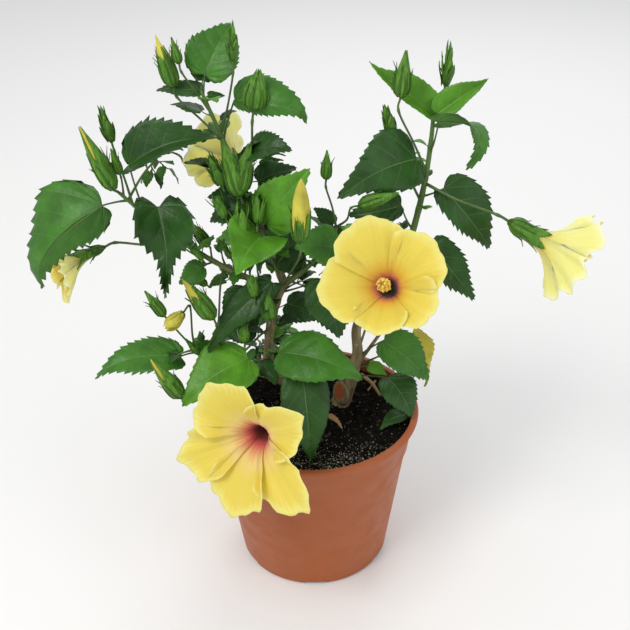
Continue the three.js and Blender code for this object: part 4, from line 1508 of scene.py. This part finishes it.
def add_bud(bm, sheets, kind, start, base, tip, width, rng):
    """One bud on its stalk: a kind of BUD_LOOKS, leafy (bracts all up it), tuft (bracts alone) or spent."""
    reach = tip - base
    way, length, radius = reach.normalized(), reach.length, width * 0.44
    add_flower_stalk(bm, start, base, way, 0.0007 + radius * 0.03)
    if kind == "leafy":
        add_core(bm, base, way, length * 0.85, radius * 0.6, SPINDLE, BUD_GREEN)
        for level in range(5):
            add_bracts(sheets, base + way * length * 0.125 * level, way, 3, length * (0.52 - 0.01 * level),
                       radius * (0.62 - 0.08 * level), 0.75 - 0.11 * level, -0.55 + 0.06 * level, rng,
                       BUD_PALE if level % 2 else BUD_GREEN)
        add_bracts(sheets, base, way, 5, length * 0.42, radius * 0.12, 0.7, -0.3, rng)
        return
    if kind == "tuft":
        for level in range(3):
            add_bracts(sheets, base + way * length * 0.1 * level, way, 7, length * (0.9 - 0.2 * level),
                       0.0009, 0.75 - 0.2 * level, -0.5, rng, BUD_GREEN if level == 1 else BUD_PALE)
        add_bracts(sheets, base + way * length * 0.1, way, 4, length * 0.8, radius * 0.5, 0.35, -0.4, rng,
                   BUD_PALE)
        return
    if kind == "spent":
        add_core(bm, base, way, length * 0.9, radius * 0.7, SPINDLE, BUD_YELLOW, twist=5.0, depth=0.2)
        add_bracts(sheets, base + way * length * 0.2, way, 5, length * 0.9, radius * 0.8, 0.75, -0.9, rng,
                   BUD_YELLOW)
        add_bracts(sheets, base, way, 5, length * 0.4, radius * 0.5, 0.3, -0.1, rng)
        return
    cover, heart, parted, bracts, outline = BUD_LOOKS[kind]
    add_core(bm, base, way, length, radius * 0.92, outline, heart, twist=3.2, depth=0.12)
    side, other = around(way)
    front = Vector((-0.3, -1, 0))
    phase = math.atan2(front.dot(other), front.dot(side)) + math.pi / 5 + rng.uniform(-0.3, 0.3)

    def place(i, j):
        s = cover * (i / SEPAL_ROWS) ** 1.2
        turn = turn_of(j, SEPAL_SIDES)
        place_in = (turn - phase) * 5 / math.tau % 5
        sepal = abs(place_in % 1 - 0.5) * 2
        top = smooth_step(cover * 0.35, cover, s)
        point = 0.2 * (1 - 2 * sepal ** 1.5) * top * (1.05 - cover) / 0.3
        height = s + clamp(point, -0.2, 0.12) - (parted * top * (1 - sepal) if int(place_in) == 4 else 0)
        share = through(*outline, clamp(height, 0, 0.99))
        swell = radius * (share + 0.05 + 0.06 * top * (1 - sepal))
        swell *= 1 + 0.05 * math.cos(10 * (turn - phase))
        return base + way * (length * height) + spoke(side, other, turn) * swell

    sheet(sheets, SEPAL_ROWS, SEPAL_SIDES, place, lambda i, j: BUD_PALE)

    def over(height):
        return radius * (through(*outline, clamp(height / length, 0, 0.99)) + 0.13)

    add_bracts(sheets, base, way, 8, length * bracts, radius * 0.16, 0.42, -0.12, rng, skin=over)
    add_bracts(sheets, base, way, 4, length * bracts * 1.15, radius * 0.1, 0.3, -0.1, rng, skin=over)


# The kind of each bud that has a node, and its girth against the node's
BUD_KINDS = {
    "upper_left": ("tipped", 0.9), "top": ("leafy", 1.15), "upper_right": ("green", 1.0),
    "top_right": ("leafy", 1.15), "left_tall": ("leafy", 1.1), "left_large": ("split", 0.74),
    "middle": ("green", 1.0), "centre_yellow": ("golden", 1.0), "low_left": ("green", 0.9),
    "low_left_yellow": ("split", 0.95),
}
# Smaller buds: limb, share along it, stalk and bud as (compass, rise, millimetres), width and kind
SMALL_BUDS = [
    ("centre_leader", 0.89, (-172, 62, 45), (180, 78, 20), 7, "green"),
    ("centre_leader", 0.49, (-54, 76, 76), (-21, 80, 31), 21, "pale"),
    ("right_stem", 0.68, (-175, 67, 63), (180, 74, 28), 13, "leafy"),
    ("left_bough", 0.96, (-103, 84, 20), (-154, 78, 22), 7, "green"),
    ("centre_leader", 0.74, (-62, -55, 43), (180, 76, 47), 17, "green"),
    ("centre_leader", 0.70, (-100, -40, 30), (200, 70, 30), 14, "leafy"),
    ("centre_leader", 0.62, (-80, -30, 26), (20, 74, 40), 16, "green"),
    ("left_bough", 0.44, (-128, 78, 15), (-172, 59, 28), 10, "tipped"),
    ("left_bough", 0.37, (-106, -46, 44), (-170, 60, 45), 16, "tipped"),
    ("middle_shoot", 1.0, (-60, 44, 44), (-10, 22, 33), 12, "pale"),
    ("left_bough", 0.3, (-100, 62, 20), (160, 60, 18), 7, "leafy"),
    ("left_bough", 0.24, (-60, 70, 24), (100, 80, 17), 7, "green"),
    ("left_bough", 0.34, (-160, -30, 22), (170, 30, 16), 6, "green"),
    ("low_left_bough", 0.78, (-120, 40, 22), (-150, 60, 20), 8, "leafy"),
    ("low_left_bough", 0.55, (-100, 60, 16), (-120, 70, 22), 9, "leafy"),
    ("centre_stem", 0.78, (-100, 0, 30), (95, 80, 22), 13, "pale"),
    ("centre_stem", 0.5, (-130, 0, 32), (110, 70, 23), 20, "tuft"),
    ("centre_stem", 0.95, (-135, 0, 32), (120, 70, 21), 18, "tuft"),
    ("centre_leader", 0.3, (-110, 8, 34), (120, 76, 32), 20, "tuft"),
    ("centre_leader", 0.36, (-85, 10, 30), (60, 74, 30), 18, "tuft"),
    ("centre_leader", 0.44, (-125, -10, 30), (150, 60, 26), 16, "tuft"),
    ("left_bough", 0.42, (-140, 20, 12), (150, 46, 24), 12, "tuft"),
    ("left_bough", 0.2, (100, 70, 8), (-150, 78, 24), 10, "golden"),
    ("low_left_bough", 0.95, (-122, 75, 46), (-144, -28, 17), 13, "spent"),
]


class HIBISCUS_OT_buds(bpy.types.Operator):
    """The buds, on the stalks that the frame gives and on the shoots between"""

    bl_idname = "hibiscus.buds"
    bl_label = "Buds"

    def execute(self, context):
        rng = random.Random(5)
        solid, sheets = bmesh.new(), bmesh.new()
        nodes = nodes_of("bud_")
        for node in nodes:
            kind, girth = BUD_KINDS[node.removeprefix("bud_")]
            tip, rings = rings_of(node, BUD_SIDES)
            base, below = middle(rings[BUD_BASE_RING]), middle(rings[BUD_BASE_RING + 1])
            start = base - (base - below) / (1 - BUD_STALK_SHARE)
            width = 2 * max((ring[0] - middle(ring)).length for ring in rings[:BUD_BASE_RING])
            add_bud(solid, sheets, kind, start, base, tip, width * girth, rng)
        for limb, along, stalk, bud, width, kind in SMALL_BUDS:
            start = LIMBS[limb].point(along)
            base = start + step_of(stalk)
            add_bud(solid, sheets, kind, start, base, base + step_of(bud), width * MM, rng)
        welded(solid)
        welded(sheets, outward=False)
        sizes, colours = choices(context)
        finishes = bud_finishes(colours)
        piece("bud_cores", solid, finishes, nodes)
        thicken(piece("bud_sepals", sheets, finishes), sizes.sepal_thickness)
        return {"FINISHED"}


# ---- blooms -------------------------------------------------------------------------------------
class Flower:
    """A bloom's calyx, axis, depth, reach and turn, worked out from the rings of its solid.

    lower is how far its petals' ends hang below their place on the axis.
    """

    def __init__(self, node):
        sides = WIDE_BLOOM_SIDES if node in WIDE_BLOOMS else BLOOM_SIDES
        rings = rings_of(node, sides)[1]
        foot_at, foot_deep, foot_out = FOOT_RING
        foot, rim = middle(rings[foot_at]), rings[RIM_RING[0]]
        to_rim, to_waist = middle(rim) - foot, middle(rings[WAIST_RING[0]]) - foot
        rim_deep, rim_out = RIM_RING[1] - foot_deep, RIM_RING[2] - foot_out
        waist_deep, waist_out = WAIST_RING[1] - foot_deep, WAIST_RING[2] - foot_out
        share = waist_out / rim_out
        self.axis = (to_waist - to_rim * share) / (waist_deep - rim_deep * share)
        self.lower = (self.axis * rim_deep - to_rim).dot(UP) / rim_out
        self.depth = self.axis.length
        self.axis.normalize()
        self.calyx = foot - self.axis * self.depth * foot_deep + UP * foot_out * self.lower
        spokes = [p - middle(rim) for p in rim]
        self.reach = max(s.length for s in spokes)
        self.side = square(min(spokes, key=lambda s: s.length), self.axis)
        self.other = self.axis.cross(self.side)
        stalk = middle(rings[BLOOM_STALK_RING])
        self.start = self.calyx - (self.calyx - stalk) / (1 - BLOOM_STALK_SHARE)


# A petal from the throat out: shares along it, and the share of the bloom's reach and depth at each
FUNNEL_AT = (0.0, 0.16, 0.34, 0.5, 0.66, 0.82, 1.0)
FUNNEL_OUT = (0.035, 0.11, 0.17, 0.3, 0.55, 0.8, 1.02)
FUNNEL_DEEP = (0.04, 0.25, 0.46, 0.64, 0.8, 0.92, 1.0)
# How each bloom opens. flat: how wide; ruffle, roll and notch: waves, curl and rounding of its rims;
# column: length of its column, as a share of its depth, or 0 where none shows; streaked: red streaks
# from the throat; shift: its place beside its solid's, in millimetres; petals: (length, point) of each;
# edges: how far the borders between petals are turned from even fifths; ragged: how uneven the rims are;
# calyx and short: length of its calyx, and of the bloom, as shares of its depth; hang: droop of the rims
OPENNESS = {
    "bloom_right_open": dict(
        flat=1.0, ruffle=0.05, roll=0.05, notch=0.24, column=0.5, shift=(0, 0, -7.5),
        petals=((1.04, 0.02), (0.94, 0.06), (0.74, 0.0), (0.87, 0.0), (1.02, 0.0)),
        edges=(-0.21, -0.19, -0.1, 0.0, -0.28)),
    "bloom_front_open": dict(
        flat=0.95, ruffle=0.07, roll=0.04, notch=0.38, streaked=True, shift=(0, 0, -5), ragged=1.9,
        petals=((1.03, 0.12), (0.98, 0.02), (0.99, 0.24), (0.88, 0.32), (1.03, 0.04)),
        edges=(0.02, -0.16, -0.16, -0.32, -0.16)),
    "bloom_far_right": dict(flat=0.9, ruffle=0.1, roll=0.0, notch=0.34, shift=(0, 0, 5)),
    "bloom_far_left": dict(flat=0.85, ruffle=0.06, roll=-0.05, notch=0.42, calyx=0.5, short=0.86,
                           hang=0.012),
    "bloom_back": dict(flat=1.0, ruffle=0.05, roll=0.05, notch=0.36, column=0.5, shift=(8, 0, -12)),
}
PETAL_ROWS, PETAL_COLUMNS, PETAL_PLAIN = 30, 26, (1.0, 0.0)
# How much further a petal reaches under its neighbours, in degrees
OVERLAP = (10, 14)
# Relief of a petal, as shares of the bloom's depth: its tilt, crown, fine ribs and middle groove
PETAL_TILT, PETAL_CROWN, RIB_HIGH, GROOVE_DEEP, GROOVE_WIDE = 0.024, 0.01, 0.007, 0.016, 0.1


def add_petal(bm, flower, number, look, rng):
    """One broad petal from the throat out, with one edge over its neighbour and the other under."""
    edges = look.get("edges", (0.0,) * 5)
    low, high = (n / 5 * math.tau + edges[n % 5] for n in (number, number + 1))
    centre = (low + high) / 2
    phase, second = rng.uniform(0, math.tau), rng.uniform(0, math.tau)
    waves = rng.choice((2.0, 2.6, 3.2))
    long, tip = look.get("petals", (PETAL_PLAIN,) * 5)[number]
    long *= rng.uniform(0.97, 1.03)
    lean, ragged = rng.uniform(-0.05, 0.05), look.get("ragged", 1.0)
    spread = (high - low) / 2 + math.radians(rng.uniform(*OVERLAP))

    def place(i, j):
        r, a = i / PETAL_ROWS, j / PETAL_COLUMNS * 2 - 1
        edge = 1 - look["notch"] * abs(a) ** 2.5 + tip * max(0, 1 - abs(a) * 2)
        edge += ragged * (0.016 * math.sin(9 * a + phase) + 0.01 * math.sin(21 * a + second))
        out = through(FUNNEL_AT, FUNNEL_OUT, r) * lerp(1, edge * long, smooth_step(0.35, 1, r))
        height = through(FUNNEL_AT, FUNNEL_DEEP, r)
        height -= look["roll"] * smooth_step(0.72, 1, r)
        wave = look["ruffle"] * math.sin(waves * math.pi * a + phase) * smooth_step(0.45, 1, r)
        height += wave * (0.35 + 0.65 * abs(a)) * (1 - 0.6 * a ** 4)
        height += PETAL_TILT * a * smooth_step(0.12, 0.45, r) + PETAL_CROWN * a * a * r
        height += RIB_HIGH * math.cos(13 * a + second) * smooth_step(0.2, 0.6, r)
        groove = GROOVE_DEEP * math.exp(-(a / GROOVE_WIDE) ** 2) * smooth_step(0.1, 0.4, r)
        height -= groove * (1 - 0.5 * r)
        turn = centre + a * spread * lerp(1, 0.94, r) + lean * r
        spot = flower.calyx + flower.axis * (flower.depth * height)
        spot = spot + spoke(flower.side, flower.other, turn) * (flower.reach * out * look["flat"])
        return spot - UP * (flower.lower * out)

    sheet(bm, PETAL_ROWS, PETAL_COLUMNS, place,
          mark=lambda i, j: (number + j / PETAL_COLUMNS * 0.9, i / PETAL_ROWS))


ANTHERS, ANTHER_TURN, ANTHER_LENGTH, ANTHER_SIZE = 120, 2.4, (0.0026, 0.0052), (0.0007, 0.0011)
STIGMAS, STIGMA_LENGTH, STIGMA_SIZE = 5, 0.004, 0.0011


def add_column(bm, base, way, length, rng):
    """The staminal column with its anthers, and five stigma pads at its end."""
    side = square(Vector((0.2, 0.1, 1)), way)
    end = base + way * length
    tube(bm, bend([base, base + way * length * 0.5, end], [0.0016, 0.0013, 0.0011], 6), 8)

    def thread(root, tip, radii, sides, knob, detail):
        tube(bm, bend([root, lerp(root, tip, 0.5), tip], radii, 2), sides)
        at = Matrix.Translation(tip)
        bmesh.ops.create_icosphere(bm, subdivisions=detail, radius=knob, matrix=at)

    for k in range(ANTHERS):
        s = rng.uniform(0.6, 1.0)
        out = Matrix.Rotation(k * ANTHER_TURN, 3, way) @ side
        root = base + way * length * s
        tip = root + (out + way * rng.uniform(0.1, 0.6)).normalized() * rng.uniform(*ANTHER_LENGTH)
        thread(root, tip, [0.00022, 0.0002, 0.0002], 4, rng.uniform(*ANTHER_SIZE), 1)
    for k in range(STIGMAS):
        out = Matrix.Rotation(k / STIGMAS * math.tau, 3, way) @ side
        tip = end + (out * 0.8 + way).normalized() * STIGMA_LENGTH
        thread(end, tip, [0.0003, 0.00028, 0.00028], 5, STIGMA_SIZE, 2)


# Where the petals' colours change along them, from throat to tip
PLAIN_STOPS = (0.0, 0.25, 0.38, 0.47, 0.62, 0.86, 1.0)
STREAKED_STOPS = (0.0, 0.2, 0.34, 0.54, 0.66, 0.86, 1.0)
OUTSIDE_STOPS = (0.0, 0.1, 0.2, 0.4, 0.6, 0.85, 1.0)
CALYX_WIDE, CALYX_BRACTS = 0.165, 8


class HIBISCUS_OT_blooms(bpy.types.Operator):
    """The open blooms: five petals from a dark throat, the column, the calyx and its bracts"""

    bl_idname = "hibiscus.blooms"
    bl_label = "Blooms"

    def execute(self, context):
        sizes, colours = choices(context)
        rng = random.Random(9)
        margin = linear(228, 218, 124)
        plain = petal_finish("Petal", margin, colours.petal, linear(224, 172, 54), linear(222, 122, 96),
                             linear(66, 8, 14), PLAIN_STOPS, 0.07)
        streaked = petal_finish("Petal streaked", margin, colours.petal, linear(230, 196, 116),
                                linear(206, 84, 86), linear(108, 10, 20), STREAKED_STOPS, 0.26)
        outside = petal_finish("Petal outside", linear(238, 238, 186), linear(234, 226, 138),
                               linear(228, 212, 112), linear(222, 204, 100), linear(176, 184, 84),
                               OUTSIDE_STOPS, 0.05, 0.9)
        pollen = leaf_finish("Pollen", linear(244, 200, 92), 0.7)
        greens, sheets = bmesh.new(), bmesh.new()
        for node in nodes_of("bloom_"):
            flower, look = Flower(node), OPENNESS[node]
            long = flower.depth * look.get("calyx", 0.44) - flower.lower
            wide = flower.reach * CALYX_WIDE
            flower.depth *= look.get("short", 1.0)
            flower.calyx = flower.calyx + Vector(look.get("shift", (0, 0, 0))) * MM
            flower.lower += look.get("hang", 0.0)
            bm = bmesh.new()
            for number in range(5):
                add_petal(bm, flower, number, look, rng)
            bmesh.ops.reverse_faces(bm, faces=bm.faces)
            finishes = [streaked if look.get("streaked") else plain, outside]
            thicken(piece(f"{node}_petals", bm, finishes, [node]), sizes.petal_thickness, 1)
            self.foot(greens, sheets, flower, long, wide, rng)
            if look.get("column"):
                bm = bmesh.new()
                add_column(bm, flower.calyx + flower.axis * flower.depth * 0.3, flower.axis,
                           flower.depth * (look["column"] + 0.2), rng)
                piece(f"{node}_column", bm, [pollen])
        welded(greens)
        welded(sheets, outward=False)
        finishes = bud_finishes(colours)
        piece("bloom_stalks", greens, finishes)
        thicken(piece("bloom_calyces", sheets, finishes), sizes.calyx_thickness)
        return {"FINISHED"}

    def foot(self, greens, sheets, flower, long, wide, rng):
        """A bloom's stalk, its calyx, long and wide as given, and the bracts round that."""
        add_flower_stalk(greens, flower.start, flower.calyx, flower.axis, 0.0011)

        def clear(height):
            out = through(FUNNEL_DEEP, FUNNEL_OUT, clamp(height / flower.depth, 0.04, 1))
            return flower.reach * (out + 0.035) if height > 0.06 * flower.depth else 0.0

        def over(height):
            return wide * through(*CALYX, clamp(height / long)) * 1.08

        add_calyx(sheets, flower.calyx, flower.axis, long, wide, rng.uniform(0, math.tau), BUD_PALE, clear)
        add_core(greens, flower.calyx - flower.axis * 0.001, flower.axis, flower.depth * 0.04,
                 flower.reach * 0.07, SPINDLE, BUD_GREEN)
        add_bracts(sheets, flower.calyx, flower.axis, CALYX_BRACTS, long * 0.75, 0.0012, 0.62, -0.1, rng,
                   skin=over)


# ---- stage --------------------------------------------------------------------------------------
FLOOR_HALF = 6
# Each light: place, width, power and colour
LIGHTS = {
    "key": ((-1.0, -1.1, 1.9), 1.0, 24, (1, 0.98, 0.95)),
    "fill": ((1.5, -1.0, 1.0), 1.4, 6, (0.96, 0.98, 1)),
    "rim": ((0.4, 1.6, 1.6), 1.2, 9, (1, 1, 1)),
}
LIT_AT = (0, 0, 0.28)
ROOM_COLOUR, ROOM_STRENGTH = (0.97, 0.985, 1, 1), 0.72
EYE, SENSOR, LENS = (0, -0.73, 0.68), 36, 1000 / 630 * 36
PITCH, YAW, ROLL = math.radians(30.7), math.radians(0.3), math.radians(-0.93)


class HIBISCUS_OT_stage(bpy.types.Operator):
    """The pale floor, soft lights and camera"""

    bl_idname = "hibiscus.stage"
    bl_label = "Stage"

    def execute(self, context):
        scene = context.scene
        bm = bmesh.new()
        bmesh.ops.create_grid(bm, x_segments=1, y_segments=1, size=FLOOR_HALF)
        floor = new_object("floor", bm)
        pale = Finish("Pale floor", {"Roughness": 0.85})
        floor.data.materials.append(pale.set(base_color=(0.84, 0.835, 0.825)))

        world = bpy.data.worlds.new("Soft room")
        world.use_nodes = True
        background = world.node_tree.nodes["Background"]
        background.inputs["Color"].default_value = ROOM_COLOUR
        background.inputs["Strength"].default_value = ROOM_STRENGTH
        scene.world = world
        for name, (place, size, power, colour) in LIGHTS.items():
            light = bpy.data.lights.new(name, "AREA")
            light.shape, light.size, light.energy, light.color = "DISK", size, power, colour
            lamp = bpy.data.objects.new(name, light)
            lamp.location = place
            lamp.rotation_euler = (Vector(LIT_AT) - Vector(place)).to_track_quat("-Z", "Y").to_euler()
            scene.collection.objects.link(lamp)

        scene.view_settings.view_transform = "Standard"
        camera = bpy.data.cameras.new("camera")
        camera.sensor_width, camera.lens = SENSOR, LENS
        camera.clip_start = 0.05
        eye = bpy.data.objects.new("camera", camera)
        ahead = Vector((math.sin(YAW) * math.cos(PITCH), math.cos(YAW) * math.cos(PITCH), -math.sin(PITCH)))
        level = ahead.cross(UP).normalized()
        above = level.cross(ahead)
        right, up = spoke(level, above, ROLL), spoke(above, -level, ROLL)
        turn = Matrix((right, up, -ahead)).transposed().to_4x4()
        eye.matrix_world = Matrix.Translation(EYE) @ turn
        scene.collection.objects.link(eye)
        scene.camera = eye
        return {"FINISHED"}


class HIBISCUS_PT_panel(bpy.types.Panel):
    """Lists the pieces and what can be changed"""

    bl_label = "Potted hibiscus"
    bl_idname = "HIBISCUS_PT_panel"
    bl_space_type = "VIEW_3D"
    bl_region_type = "UI"
    bl_category = "Hibiscus"

    def draw(self, context):
        layout = self.layout
        for group in (context.scene.hibiscus_sizes, context.scene.hibiscus_colours):
            column = layout.column(align=True)
            for name in group.__annotations__:
                column.prop(group, name)
        for operator in OPERATORS:
            layout.operator(operator.bl_idname)


OPERATORS = (
    HIBISCUS_OT_stage, HIBISCUS_OT_pot, HIBISCUS_OT_soil, HIBISCUS_OT_litter, HIBISCUS_OT_leaves,
    HIBISCUS_OT_sprays, HIBISCUS_OT_stems, HIBISCUS_OT_buds, HIBISCUS_OT_blooms,
)
CLASSES = (HIBISCUS_PG_sizes, HIBISCUS_PG_colours, *OPERATORS, HIBISCUS_PT_panel)


def register():
    for cls in CLASSES:
        bpy.utils.register_class(cls)
    bpy.types.Scene.hibiscus_sizes = PointerProperty(type=HIBISCUS_PG_sizes)
    bpy.types.Scene.hibiscus_colours = PointerProperty(type=HIBISCUS_PG_colours)


def unregister():
    del bpy.types.Scene.hibiscus_colours
    del bpy.types.Scene.hibiscus_sizes
    for cls in reversed(CLASSES):
        bpy.utils.unregister_class(cls)


def main():
    register()
    for operator in OPERATORS:
        group, name = operator.bl_idname.split(".")
        getattr(getattr(bpy.ops, group), name)()


if __name__ == "__main__":
    main()
